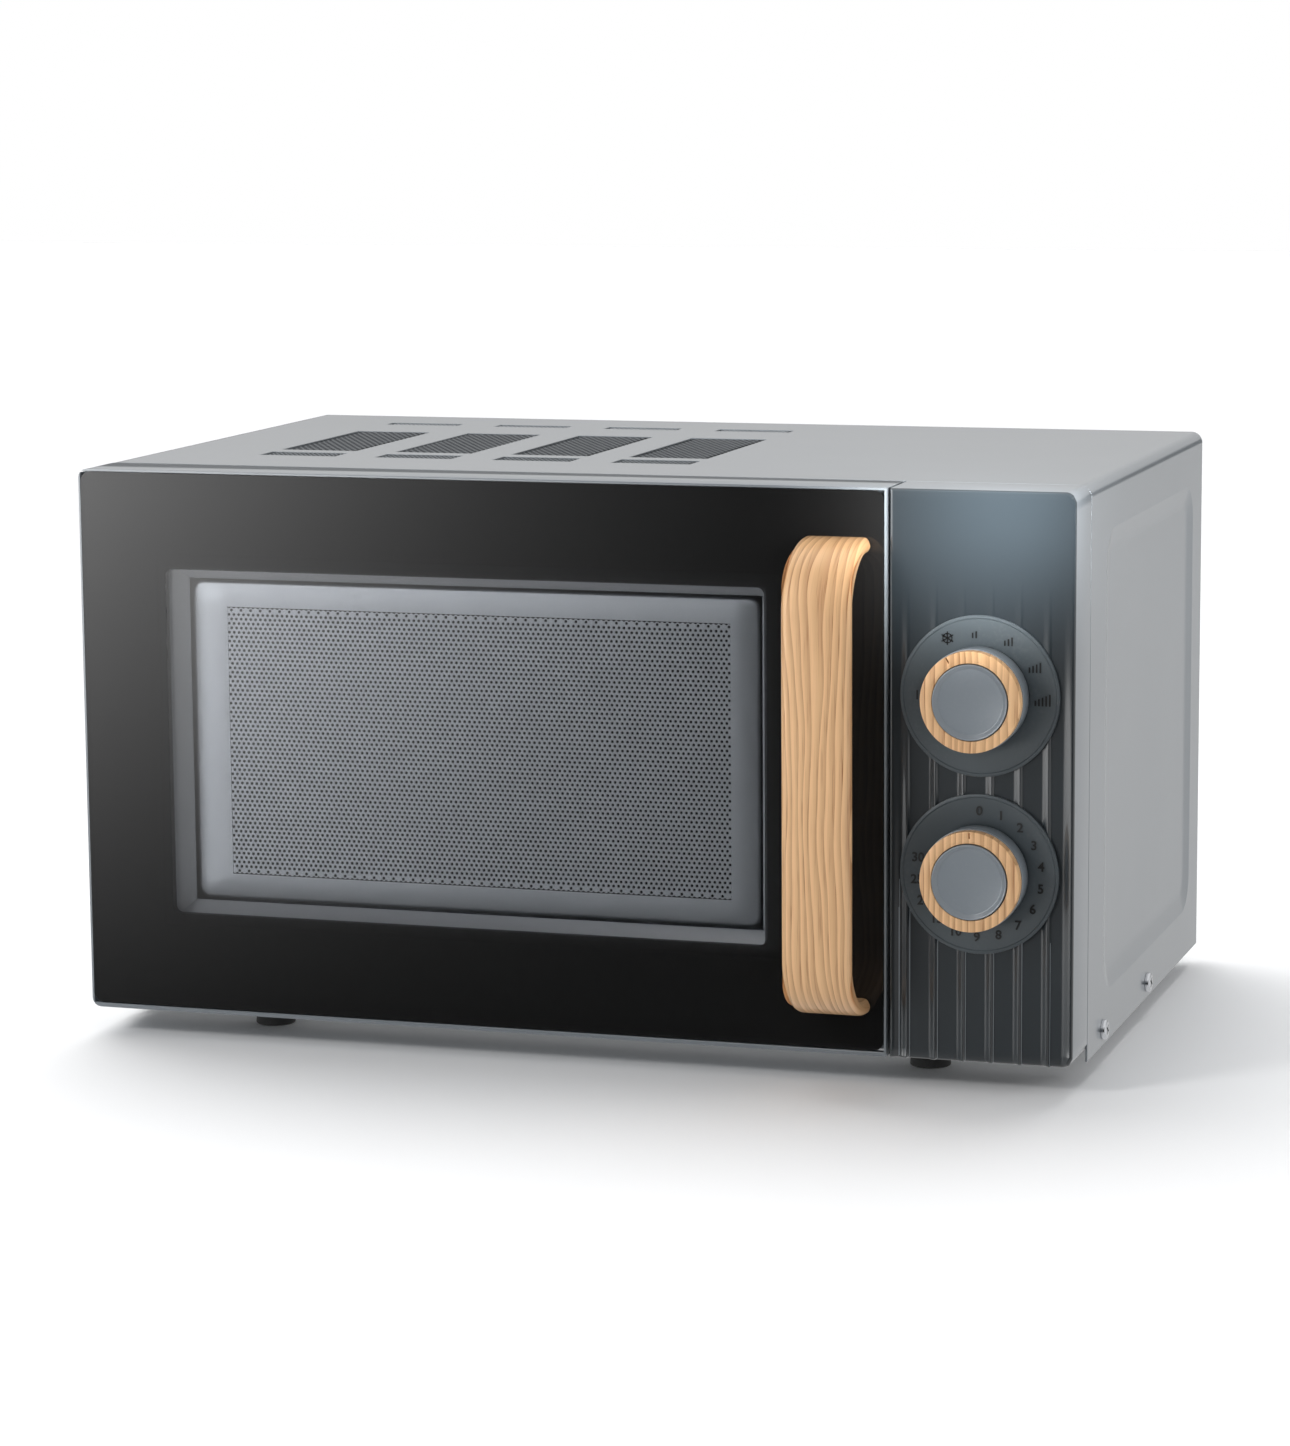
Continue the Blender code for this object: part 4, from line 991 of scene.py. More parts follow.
@dataclass
class Perforation:
    """A field of hexagonal holes in staggered rows.

    Attributes:
        pitch: The distance between holes in a row.
        hole: The radius of a hole.
        wall: How deep a hole's wall is.
    """

    pitch: float
    hole: float
    wall: float

    @property
    def row(self) -> float:
        """The distance between rows."""
        return self.pitch * math.sqrt(3) / 2

    def cell(self, name: str, open_cell: bool = True) -> Blank:
        """Make one six-sided cell at the origin, facing up, with a hole through it.

        Args:
            name: The cell's name.
            open_cell: Whether it has its hole.

        Returns:
            The cell.
        """
        Blank.clear()
        bpy.ops.mesh.primitive_circle_add(vertices=6, radius=self.pitch / math.sqrt(3), fill_type="NGON")
        cell = Blank.taken(name)
        if open_cell:
            with cell.edit():
                bpy.ops.mesh.select_all(action="SELECT")
                margin = (self.pitch / math.sqrt(3) - self.hole) * math.sqrt(3) / 2
                bpy.ops.mesh.inset(thickness=margin)
                bpy.ops.mesh.extrude_region_move(TRANSFORM_OT_translate={"value": (0, 0, -self.wall)})
                bpy.ops.mesh.delete(type="FACE")
        return cell

    def field(self, name: str, columns: int, rows: int) -> Blank:
        """Repeat the cell over staggered rows, from the origin along +X and +Y.

        Args:
            name: The field's name.
            columns: How many holes a row has.
            rows: How many rows there are, an even number.

        Returns:
            The field, facing up.
        """
        cell = self.cell(name)
        cell.repeat(2, (self.pitch / 2, self.row, 0))
        cell.repeat(columns, (self.pitch, 0, 0))
        cell.repeat(rows // 2, (0, 2 * self.row, 0))
        return cell

    def sparse_row(self, name: str, columns: int) -> Blank:
        """Make one row in which every other cell is open.

        Args:
            name: The row's name.
            columns: How many cells it has.

        Returns:
            The row.
        """
        row = self.cell(name)
        shut = self.cell(f"{name}_shut", open_cell=False)
        shut.obj.data.transform(Matrix.Translation((self.pitch, 0, 0)))
        row.absorb(shut)
        row.repeat(columns // 2, (2 * self.pitch, 0, 0))
        return row

    def plate(self, name: str, x: Span, depth: Span, z: float) -> Blank:
        """Fill a level rectangle with holes.

        Args:
            name: The plate's name.
            x: Its span across the oven.
            depth: Its span behind the glass plane.
            z: Its height.

        Returns:
            The plate.
        """
        columns = math.ceil((x[1] - x[0]) / self.pitch) - 1
        rows = 2 * (math.ceil((depth[1] - depth[0]) / self.row) // 2)
        field = self.field(name, columns, rows)
        across = ((x[1] - x[0]) - (columns - 0.5) * self.pitch) / 2
        along = ((depth[1] - depth[0]) - (rows - 1) * self.row) / 2
        field.obj.data.transform(Matrix.Translation((x[0] + across, FRONT + depth[0] + along, z)))
        return field


@dataclass
class SideScrew:
    """A cross-head screw in the side of the casing."""

    node: str
    side: int
    radius: float = 0.0043
    height: float = 0.0022
    rounding: float = 0.0013
    cross: Span = (0.0023, 0.00045)
    cross_depth: float = 0.0011
    turned: float = 31.0

    def build(self) -> None:
        """Make the head at the origin, cut its cross, and set it in the casing's side."""
        low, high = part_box(self.node)
        middle = (low + high) / 2
        reach = max(abs(low.x), abs(high.x))
        head = Blank.rod(f"{self.node}_head", (0, 0), self.radius, (0.0, self.height), 48)
        with head.edit():
            head.edges(lambda at, along: near(depth_of(at), 0.0) and abs(along.y) < 0.5)
            bpy.ops.mesh.bevel(offset=self.rounding, segments=5, affect="EDGES", profile=0.55)
        for across, up in (self.cross, self.cross[::-1]):
            head.cut_out(Blank.block("cross", (-across, across), (-0.001, self.cross_depth), (-up, up)))
        turn = Matrix.Rotation(math.radians(90 * self.side), 4, "Z")
        roll = Matrix.Rotation(math.radians(self.turned), 4, "Y")
        seat = Matrix.Translation((self.side * reach, middle.y, middle.z))
        head.obj.data.transform(seat @ turn @ roll @ Matrix.Translation((0, -FRONT, 0)))
        head.fit(Body.CASING, Finishes.chrome, Slot.CHROME, self.node)


@dataclass
class Trimmings:
    """The casing's screws and feet."""

    sole: float = 0.45
    groove: float = 0.08
    groove_depth: float = 0.0015
    taper: float = 0.9
    rounding: float = 0.0009

    def build(self) -> None:
        """Make the four side screws and the four feet."""
        for side, word in ((-1, "left"), (1, "right")):
            for end in ("front", "rear"):
                SideScrew(f"side_screw_{word}_{end}", side).build()
        for end in ("front", "rear"):
            for word in ("left", "right"):
                self.foot(f"foot_{end}_{word}")

    def foot(self, node: str) -> None:
        """Make one rubber foot with a rounded sole and a ring groove.

        Args:
            node: The foot's node.
        """
        low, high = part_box(node)
        middle = (low + high) / 2
        radius = (high.x - low.x) / 2
        foot = Blank.post(f"{node}_pad", (middle.x, depth_of(middle)), radius, (low.z, high.z))
        with foot.edit():
            foot.faces(lambda at, n: n.z < -0.9)
            bpy.ops.mesh.inset(thickness=radius * self.sole, depth=0)
            bpy.ops.mesh.inset(thickness=radius * self.groove, depth=-self.groove_depth)
            foot.faces(lambda at, n: n.z > 0.9)
            grow = (self.taper, self.taper, 1)
            bpy.ops.transform.resize(value=grow, center_override=(middle.x, middle.y, high.z))
        foot.ease(self.rounding, 4)
        foot.fit(Body.CASING, Finishes.rubber, Slot.RUBBER, node)


# The control side


@dataclass
class ControlPanel:
    """The moulded front beside the door: upright ribs that fade out towards the top."""

    node: str = "control_panel"
    rib_start: float = 0.1510
    rib_pitch: float = 0.01185
    rib_count: int = 6
    rise: float = 0.0030
    fall: float = 0.0009
    rib_height: float = 0.0013
    corner: float = 0.0045
    edge: float = 0.0010
    edge_steps: int = 4
    side_blend: float = 0.004
    faded_from: float = 0.060
    faded_to: float = 0.222
    columns: int = 280
    rows: int = 60

    def rib(self, x: float) -> float:
        """Give the ribs' profile across the panel: a long rise to a crest, and a short fall.

        Args:
            x: The place across the oven.

        Returns:
            The height as a share of a rib's.
        """
        place = (x - self.rib_start + self.fall) % self.rib_pitch
        last = self.rib_start + (self.rib_count - 1) * self.rib_pitch
        if x < self.rib_start - self.rib_pitch or x > last + 1e-4:
            return 0.0
        if place < self.fall:
            return 0.5 + 0.5 * math.cos(math.pi * place / self.fall)
        start = self.rib_pitch - self.rise
        if place < start:
            return 0.0
        return eased((place - start) / self.rise)

    def depth_at(self, x: float, z: float) -> float:
        """Give how deep the face lies at a place: the hollows between ribs fill up towards the top."""
        strength = 1.0 - eased((z - self.faded_from) / (self.faded_to - self.faded_from))
        return self.rib_height * (1.0 - self.rib(x)) * strength

    def build(self) -> None:
        """Make the panel: a fine grid shaped by the ribs, its sides drawn back to the casing."""
        low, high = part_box(self.node)
        Blank.clear()
        edge = self.edge
        bpy.ops.mesh.primitive_grid_add(
            x_subdivisions=self.columns, y_subdivisions=self.rows, size=1,
            location=((low.x + high.x) / 2, FRONT, (low.z + high.z) / 2), rotation=(math.pi / 2, 0, 0))
        bpy.ops.transform.resize(value=(high.x - low.x - 2 * edge, 1, high.z - low.z - 2 * edge))
        panel = Blank.taken("control_face")
        for vert in panel.obj.data.vertices:
            x, z = vert.co.x, vert.co.z
            margin = min(x - low.x - edge, high.x - edge - x)
            vert.co.y += self.depth_at(x, z) * eased(margin / self.side_blend)
            self.round_off(vert.co, low, high)
        with panel.edit():
            bpy.ops.mesh.select_mode(type="EDGE")
            bpy.ops.mesh.select_non_manifold()
            middle = ((low.x + high.x) / 2, FRONT, (low.z + high.z) / 2)
            width, height = high.x - low.x - 2 * edge, high.z - low.z - 2 * edge
            quarter = math.pi / 2 / self.edge_steps
            for step in range(self.edge_steps):
                before, after = (2 * edge * math.sin(quarter * at) for at in (step, step + 1))
                sunk = edge * (math.cos(quarter * step) - math.cos(quarter * (step + 1)))
                bpy.ops.mesh.extrude_region_move(TRANSFORM_OT_translate={"value": (0, sunk, 0)})
                grow = ((width + after) / (width + before), 1, (height + after) / (height + before))
                bpy.ops.transform.resize(value=grow, center_override=middle)
            back = depth_of(high) - edge
            bpy.ops.mesh.extrude_region_move(TRANSFORM_OT_translate={"value": (0, back, 0)})
        panel.obj.data.materials.append(Finishes.moulding.material())
        panel.obj.data.materials.append(Finishes.casing.material())
        for face in panel.obj.data.polygons:
            outward = max(face.normal.x, face.normal.z) > 0.3
            face.material_index = int(outward and depth_of(face.center) > edge)
        panel.fit(Body.CASING, Finishes.moulding, Slot.PLASTIC, self.node, smooth=42.0)

    def round_off(self, point: Vector, low: Vector, high: Vector) -> None:
        """Pull a point of the grid's right corners in to their radius.

        Args:
            point: The point, which is moved.
            low: The panel's lowest corner.
            high: The panel's highest corner.
        """
        radius = self.corner
        right = high.x - self.edge
        across = point.x - (right - radius)
        for end, way in ((high.z - self.edge, 1), (low.z + self.edge, -1)):
            up = (point.z - end) * way + radius
            if across > 0 and up > 0:
                length = math.hypot(across, up)
                share = max(across, up) / length
                point.x = right - radius + across * share
                point.z = end + (up * share - radius) * way


@dataclass
class Dial:
    """A dial: a plate with printed marks, and a knob of a barrel, an oak ring and a dished cap."""

    kind: str
    body: Body
    notch_angle: float
    rim: float = 0.0012
    rim_groove: Span = (0.0004, 0.0003)
    well_radius: float = 0.0206
    well: Span = (0.0002, 0.0010)
    barrel_face: float = 0.0007
    barrel_groove: Span = (0.0002, 0.0004)
    barrel_taper: float = 0.985
    bore: float = 0.0160
    notch_radius: float = 0.0192
    notch_size: Spot = (0.0003, 0.0012, 0.0012)
    lip: float = 0.0005
    dish_slope: float = 0.0016
    dish: float = 0.0017

    @property
    def centre(self) -> Span:
        """The dial's axis as x and z."""
        low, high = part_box(f"{self.kind}_dial_plate")
        return (low.x + high.x) / 2, (low.z + high.z) / 2

    def build(self) -> None:
        """Make the plate, the marks and the knob."""
        self.plate()
        self.barrel()
        self.ring()
        self.cap()

    def plate(self) -> None:
        """Make the round plate, slightly hollow, with a fine groove near its rim."""
        node = f"{self.kind}_dial_plate"
        low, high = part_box(node)
        radius = (high.x - low.x) / 2
        plate = Blank.rod(f"{self.kind}_plate", self.centre, radius, (depth_of(low), depth_of(high)), 128)
        with plate.edit():
            plate.faces(lambda at, n: n.y < -0.9)
            bpy.ops.mesh.inset(thickness=self.rim, depth=0)
            bpy.ops.mesh.inset(thickness=self.rim_groove[0], depth=-self.rim_groove[1])
            flat = radius - self.rim - self.rim_groove[0] - self.well_radius
            bpy.ops.mesh.inset(thickness=flat, depth=0)
            bpy.ops.mesh.inset(thickness=self.well[0], depth=-self.well[1])
        plate.ease(0.0002, 2)
        plate.fit(Body.CASING, Finishes.dial, Slot.PLASTIC, node)

    def barrel(self) -> None:
        """Make the barrel behind the ring, with a narrow foot."""
        node = f"{self.kind}_knob_barrel"
        low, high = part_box(node)
        radius = (high.x - low.x) / 2
        span = (depth_of(low), depth_of(high))
        barrel = Blank.rod(f"{self.kind}_barrel", self.centre, radius, span)
        with barrel.edit():
            barrel.faces(lambda at, n: n.y > 0.9)
            grow = (self.barrel_taper, 1, self.barrel_taper)
            bpy.ops.transform.resize(value=grow, center_override=(self.centre[0], FRONT, self.centre[1]))
            barrel.faces(lambda at, n: n.y < -0.9)
            bpy.ops.mesh.inset(thickness=self.barrel_face, depth=0)
            bpy.ops.mesh.inset(thickness=self.barrel_groove[0], depth=-self.barrel_groove[1])
        barrel.ease(0.0005, 3)
        barrel.fit(self.body, Finishes.knob, Slot.PLASTIC, node)

    def ring(self) -> None:
        """Make the oak ring with rounded edges and its small pointer notch."""
        node = f"{self.kind}_knob_ring"
        low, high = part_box(node)
        radius = (high.x - low.x) / 2
        front, back = depth_of(low), depth_of(high)
        ring = Blank.rod(f"{self.kind}_oak_ring", self.centre, radius, (front, back), 128)
        ring.cut_out(Blank.rod("bore", self.centre, self.bore, (front - 0.001, back + 0.001), 128))
        angle = math.radians(self.notch_angle)
        wide, deep, tall = self.notch_size
        notch = Blank.block("notch", (-wide, wide), (front - 0.001, front + deep), (-tall, tall))
        turn = Matrix.Rotation(math.pi / 2 - angle, 4, "Y")
        across, up = self.notch_radius * math.cos(angle), self.notch_radius * math.sin(angle)
        spot = (self.centre[0] + across, 0, self.centre[1] + up)
        notch.obj.data.transform(Matrix.Translation(spot) @ turn)
        ring.cut_out(notch)
        ring.ease(0.0008, 4, 60.0)
        ring.fit(self.body, Finishes.oak_ring, Slot.OAK, node)

    def cap(self) -> None:
        """Make the cap: a thin bright lip, a slope, and a flat face set back in it."""
        node = f"{self.kind}_knob_cap"
        low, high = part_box(node)
        radius = (high.x - low.x) / 2
        cap = Blank.rod(f"{self.kind}_cap", self.centre, radius, (depth_of(low), depth_of(high)), 128)
        with cap.edit():
            cap.faces(lambda at, n: n.y < -0.9)
            bpy.ops.mesh.inset(thickness=self.lip, depth=0)
            bpy.ops.mesh.inset(thickness=self.dish_slope, depth=-self.dish)
        cap.ease(0.00016, 3, 20.0)
        cap.fit(self.body, Finishes.knob, Slot.PLASTIC, node)


@dataclass
class Marks:
    """The printed marks around a dial, each a thin raised print."""

    centre: Span
    thickness: float = 0.00012
    plate_depth: float = -0.0010
    minute_step: float = 20.2
    minute_radius: float = 0.0264
    figure_height: float = 0.0037
    level_radius: float = 0.0262
    levels: tuple[tuple[int, float], ...] = ((1, 180), (2, 95), (3, 63), (4, 29), (5, -2))
    bar_pitch: float = 0.0015
    bar_width: float = 0.00062
    bar_height: float = 0.0022
    bar_rise: float = 0.00065
    lone_bar: float = 0.0038
    star_place: Span = (0.0272, 120)
    arm: Span = (0.00050, 0.0056)
    tip: Span = (0.0018, 0.00050)

    def spot(self, radius: float, angle: float) -> Span:
        """Give the place of a mark at an angle counted from the right, anticlockwise."""
        turn = math.radians(angle)
        return self.centre[0] + radius * math.cos(turn), self.centre[1] + radius * math.sin(turn)

    def bar(self, name: str, x: float, z: float, width: float, height: float) -> Blank:
        """Make one upright bar that stands on a height."""
        depth = (self.plate_depth - self.thickness, self.plate_depth + 0.0001)
        return Blank.block(name, (x - width / 2, x + width / 2), depth, (z, z + height))

    def number(self, text: str, place: Span, height: float) -> Blank:
        """Make one number.

        Args:
            text: What it says.
            place: Its middle as x and z.
            height: The height of its figures.

        Returns:
            The number as a thin solid.
        """
        Blank.clear()
        bpy.ops.object.text_add()
        words = bpy.context.object
        words.data.body = text
        words.data.size = height / 0.69
        words.data.extrude = self.thickness / 2
        words.data.offset = 0.00012
        words.data.resolution_u = 3
        words.data.align_x = "CENTER"
        words.data.align_y = "CENTER"
        bpy.ops.object.convert(target="MESH")
        number = Blank(bpy.context.object)
        seat = Matrix.Translation((place[0], FRONT + self.plate_depth, place[1]))
        number.obj.data.transform(seat @ Matrix.Rotation(math.pi / 2, 4, "X"))
        return number

    def timer(self) -> None:
        """Print the minutes, clockwise from the top."""
        words = ["0", "1", "2", "3", "4", "5", "6", "7", "8", "9", "10", "15", "20", "25", "30"]
        prints = []
        for index, word in enumerate(words):
            place = self.spot(self.minute_radius, 90 - index * self.minute_step)
            prints.append(self.number(word, place, self.figure_height))
        self.print_all("timer_marks", prints)

    def power(self) -> None:
        """Print the power levels as rising bars, and the defrost mark as a six-armed star."""
        prints = []
        for count, angle in self.levels:
            x, z = self.spot(self.level_radius, angle)
            for index in range(count):
                height = self.bar_height + self.bar_rise * index if count > 1 else self.lone_bar
                place = x + (index - (count - 1) / 2) * self.bar_pitch
                prints.append(self.bar("bar", place, z - self.bar_height, self.bar_width, height))
        prints += self.star(self.spot(*self.star_place))
        self.print_all("power_marks", prints)

    def star(self, place: Span) -> list[Blank]:
        """Make three crossing strokes with a short stroke near each end.

        Args:
            place: The star's middle as x and z.

        Returns:
            The strokes.
        """
        (arm, length), (tip, thin) = self.arm, self.tip
        strokes = []
        for turn in (0, 60, 120):
            stroke = self.bar("arm", 0, -length / 2, arm, length)
            for end in (-tip, tip):
                stroke.absorb(self.bar("tip", 0, end - thin / 2, tip, thin))
            stroke.obj.data.transform(Matrix.Rotation(math.radians(turn), 4, "Y"))
            stroke.obj.data.transform(Matrix.Translation((place[0], 0, place[1])))
            strokes.append(stroke)
        return strokes

    def print_all(self, name: str, prints: list[Blank]) -> None:
        """Join the prints of one dial into one piece.

        Args:
            name: The piece's name.
            prints: The prints.
        """
        first, *others = prints
        first.absorb(*others)
        first.obj.name = name
        first.obj.data.name = name
        first.obj.data.materials.clear()
        first.fit(Body.CASING, Finishes.print, Slot.PLASTIC)


# The door


@dataclass
class DoorFrame:
    """The door's moulded frame, with softened edges."""

    node: str = "door_frame"

    def build(self) -> None:
        """Copy the frame's own solid, clean its faces, and round its edges."""
        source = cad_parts[self.node]
        made = source.copy()
        made.data = source.data.copy()
        made.name = "door_shell"
        made.data.name = "door_shell"
        made.parent = None
        for key in list(made.keys()):
            del made[key]
        bpy.context.scene.collection.objects.link(made)
        made.data.materials.clear()
        shell = Blank(made)
        with shell.edit():
            bpy.ops.mesh.select_all(action="SELECT")
            bpy.ops.mesh.remove_doubles(threshold=1e-5)
            bpy.ops.mesh.dissolve_limited(angle_limit=math.radians(1))
        shell.ease(0.0006, 3, 50.0)
        shell.fit(Body.DOOR, Finishes.casing, Slot.PLASTIC, self.node)


@dataclass
class DoorGlass:
    """The door's glass: printed black all round, and tinted where the window is."""

    node: str = "door_glass"
    window_x: Span = (-0.1800, 0.0890)
    window_z: Span = (0.0560, 0.2075)
    window_corner: float = 0.0030
    corner: float = 0.0042

    def build(self) -> None:
        """Make the pane, its rounded corners, and the outline of the window."""
        low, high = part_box(self.node)
        pane = Blank.block("glass_pane", (low.x, high.x), (0.0, depth_of(high)), (low.z, high.z))
        with pane.edit():
            pane.edges(lambda at, along: abs(along.y) > 0.9)
            bpy.ops.mesh.bevel(offset=self.corner, segments=8, affect="EDGES")
            for way in (-1, 1):
                self.outline(pane, way)
        pane.obj.data.materials.append(Finishes.glass.material())
        pane.obj.data.materials.append(Finishes.window.material())
        for face in pane.obj.data.polygons:
            clear = inside(face.center.x, self.window_x) and inside(face.center.z, self.window_z)
            face.material_index = int(clear and abs(face.normal.y) > 0.9 and self.is_window(face))
        pane.fit(Body.DOOR, Finishes.glass, Slot.GLASS, self.node)

    def is_window(self, face: bpy.types.MeshPolygon) -> bool:
        """Tell a window face from the printed ones by its place."""
        middle_x, middle_z = sum(self.window_x) / 2, sum(self.window_z) / 2
        return near(face.center.x, middle_x, 0.01) and near(face.center.z, middle_z, 0.01)

    def outline(self, pane: Blank, way: int) -> None:
        """Cut the window's outline into the front or the back face.

        Args:
            pane: The pane, in edit mode.
            way: -1 for the front, 1 for the back.
        """
        def facing(at: Vector, n: Vector) -> bool:
            """Pick the faces on that side."""
            return n.y * way > 0.9

        def window(at: Vector, n: Vector) -> bool:
            """Pick the face in the middle of the window."""
            return facing(at, n) and near(at.x, middle.x, 0.01) and near(at.z, middle.z, 0.01)
        pane.cut(facing, (1, 0, 0), self.window_x)
        pane.cut(facing, (0, 0, 1), self.window_z)
        middle = Vector((sum(self.window_x) / 2, 0, sum(self.window_z) / 2))
        pane.faces(window)
        bpy.ops.mesh.inset(thickness=0.0001)
        bpy.ops.mesh.select_mode(type="VERT")
        bpy.ops.mesh.bevel(offset=self.window_corner, segments=6, affect="VERTICES")


@dataclass
class Screen:
    # Painted shade: a nearly opaque dark film behind the screen's holes, standing in for the unlit oven
    # behind them.
    """The pressed steel pan behind the window, with its field of small holes."""

    node: str = "door_screen"
    face_x: Span = (-0.1734, 0.0830)
    face_z: Span = (0.0613, 0.2010)
    surround_x: Span = (-0.1850, 0.0940)
    surround_z: Span = (0.0510, 0.2125)
    surround_depth: Span = (0.0062, 0.0136)
    surround_gap: float = 0.0012
    film_depth: Span = (0.0175, 0.0179)
    film_margin: float = 0.003
    field_x: Span = (-0.1572, 0.0702)
    field_z: Span = (0.0722, 0.1900)
    draft: float = 0.0022
    corner: float = 0.0050
    pitch: float = 0.00225
    hole: float = 0.00070

    def build(self) -> None:
        """Make the surround, the pan and the perforated sheet set into it."""
        self.surround()
        self.pan()
        self.sheet()
        self.film()

    def film(self) -> None:
        """Make the dark film behind the holes: painted shade that stands in for the unlit oven seen through
        them.
        """
        margin = self.film_margin
        x = (self.field_x[0] - margin, self.field_x[1] + margin)
        z = (self.field_z[0] - margin, self.field_z[1] + margin)
        film = Blank.block("screen_shade_film", x, self.film_depth, z)
        with film.edit():
            film.edges(lambda at, along: abs(along.y) > 0.9)
            bpy.ops.mesh.bevel(offset=self.corner, segments=5, affect="EDGES")
        film.fit(Body.DOOR, Finishes.film, Slot.PLASTIC)

    def surround(self) -> None:
        """Make the sloping surround that leads from the opening of the frame back to the pan."""
        front_x, front_z = self.surround_x, self.surround_z
        surround = Blank.block("window_surround", front_x, self.surround_depth, front_z)
        gap = self.surround_gap
        with surround.edit():
            surround.faces(lambda at, n: n.y > 0.9)
            middle = Vector((sum(front_x) / 2, 0, sum(front_z) / 2))
            target = Vector((sum(self.face_x) / 2, 0, sum(self.face_z) / 2))
            grow = ((self.face_x[1] - self.face_x[0] + 2 * gap) / (front_x[1] - front_x[0]), 1,
                    (self.face_z[1] - self.face_z[0] + 2 * gap) / (front_z[1] - front_z[0]))
            bpy.ops.transform.resize(value=grow, center_override=middle)
            bpy.ops.transform.translate(value=target - middle)
            surround.faces(lambda at, n: abs(n.y) > 0.9)
            bpy.ops.mesh.delete(type="FACE")
            surround.edges(lambda at, along: abs(along.y) > 0.5)
            bpy.ops.mesh.bevel(offset=0.004, segments=6, affect="EDGES")
            bpy.ops.mesh.select_all(action="SELECT")
            bpy.ops.mesh.normals_make_consistent(inside=True)
        surround.modify("SOLIDIFY", thickness=0.0008, offset=-1.0, use_even_offset=True)
        surround.ease(0.0002, 2, 50.0)
        surround.fit(Body.DOOR, Finishes.surround, Slot.PLASTIC)

    def pan(self) -> None:
        """Press the pan: a flange, sloping walls and a raised face with an opening."""
        low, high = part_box(self.node)
        front, back = depth_of(low), depth_of(high)
        pan = Blank.block("screen_pan", self.face_x, (front, back), self.face_z)
        with pan.edit():
            pan.faces(lambda at, n: n.y > 0.9)
            grow = self.grown(self.draft)
            middle = (sum(self.face_x) / 2, FRONT + back, sum(self.face_z) / 2)
            bpy.ops.transform.resize(value=grow, center_override=middle)
            bpy.ops.mesh.delete(type="FACE")
            pan.edges(lambda at, along: abs(along.y) > 0.9)
            bpy.ops.mesh.bevel(offset=self.corner, segments=6, affect="EDGES")
            pan.edges(lambda at, along: near(depth_of(at), front) and abs(along.y) < 0.1)
            bpy.ops.mesh.bevel(offset=0.0013, segments=4, affect="EDGES")
            self.open_field(pan)
            self.flange(pan, low, high)
        pan.modify("SOLIDIFY", thickness=0.0006, offset=-1.0, use_even_offset=True)
        pan.fit(Body.DOOR, Finishes.screen, Slot.ZINC, self.node)

    def grown(self, by: float) -> Spot:
        """Give the scale that grows the face by a margin on every side."""
        width, height = self.face_x[1] - self.face_x[0], self.face_z[1] - self.face_z[0]
        return (width + 2 * by) / width, 1, (height + 2 * by) / height

    def open_field(self, pan: Blank) -> None:
        """Open the face where the perforated sheet goes.

        Args:
            pan: The pan, in edit mode.
        """
        def facing(at: Vector, n: Vector) -> bool:
            """Pick the face's level parts."""
            return n.y < -0.99
        pan.cut(facing, (1, 0, 0), self.field_x)
        pan.cut(facing, (0, 0, 1), self.field_z)
        pan.faces(lambda at, n: facing(at, n) and inside(at.x, self.field_x) and inside(at.z, self.field_z))
        bpy.ops.mesh.delete(type="FACE")

    def flange(self, pan: Blank, low: Vector, high: Vector) -> None:
        """Draw the walls' back edge out to the flange.

        Args:
            pan: The pan, in edit mode.
            low: The flange's lowest corner.
            high: The flange's highest corner.
        """
        pan.edges(lambda at, along: near(at.y, high.y) and abs(along.y) < 0.1)
        bpy.ops.mesh.extrude_region_move(TRANSFORM_OT_translate={"value": (0, 0, 0)})
        width = self.face_x[1] - self.face_x[0] + 2 * self.draft
        height = self.face_z[1] - self.face_z[0] + 2 * self.draft
        grow = ((high.x - low.x) / width, 1, (high.z - low.z) / height)
        middle = (sum(self.face_x) / 2, high.y, sum(self.face_z) / 2)
        bpy.ops.transform.resize(value=grow, center_override=middle)
        shift = ((low.x + high.x) / 2 - middle[0], 0, (low.z + high.z) / 2 - middle[2])
        bpy.ops.transform.translate(value=shift)

    def sheet(self) -> None:
        """Make the perforated sheet: close rows between two pairs of sparse ones."""
        low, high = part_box(self.node)
        holes = Perforation(self.pitch, self.hole, 0.0005)
        margin = 0.0002
        width = self.field_x[1] - self.field_x[0]
        height = self.field_z[1] - self.field_z[0]
        columns = 2 * (math.ceil((width + 2 * margin) / self.pitch) // 2) + 2
        rows = 2 * (math.ceil((height + 2 * margin) / holes.row) // 2) - 2
        sheet = holes.field("screen_sheet", columns, rows)
        last = holes.sparse_row("sparse_top", columns)
        last.obj.data.transform(Matrix.Translation((0, rows * holes.row, 0)))
        first = holes.sparse_row("sparse_bottom", columns)
        first.obj.data.transform(Matrix.Translation((self.pitch / 2, -holes.row, 0)))
        sheet.absorb(first, last)
        wide, tall = (columns - 0.5) * self.pitch, (rows - 1) * holes.row
        start_x = sum(self.field_x) / 2 - wide / 2
        start_z = sum(self.field_z) / 2 - tall / 2
        seat = Matrix.Translation((start_x, low.y + 0.0001, start_z)) @ Matrix.Rotation(math.pi / 2, 4, "X")
        sheet.obj.data.transform(seat)
        sheet.fit(Body.DOOR, Finishes.screen, Slot.ZINC)


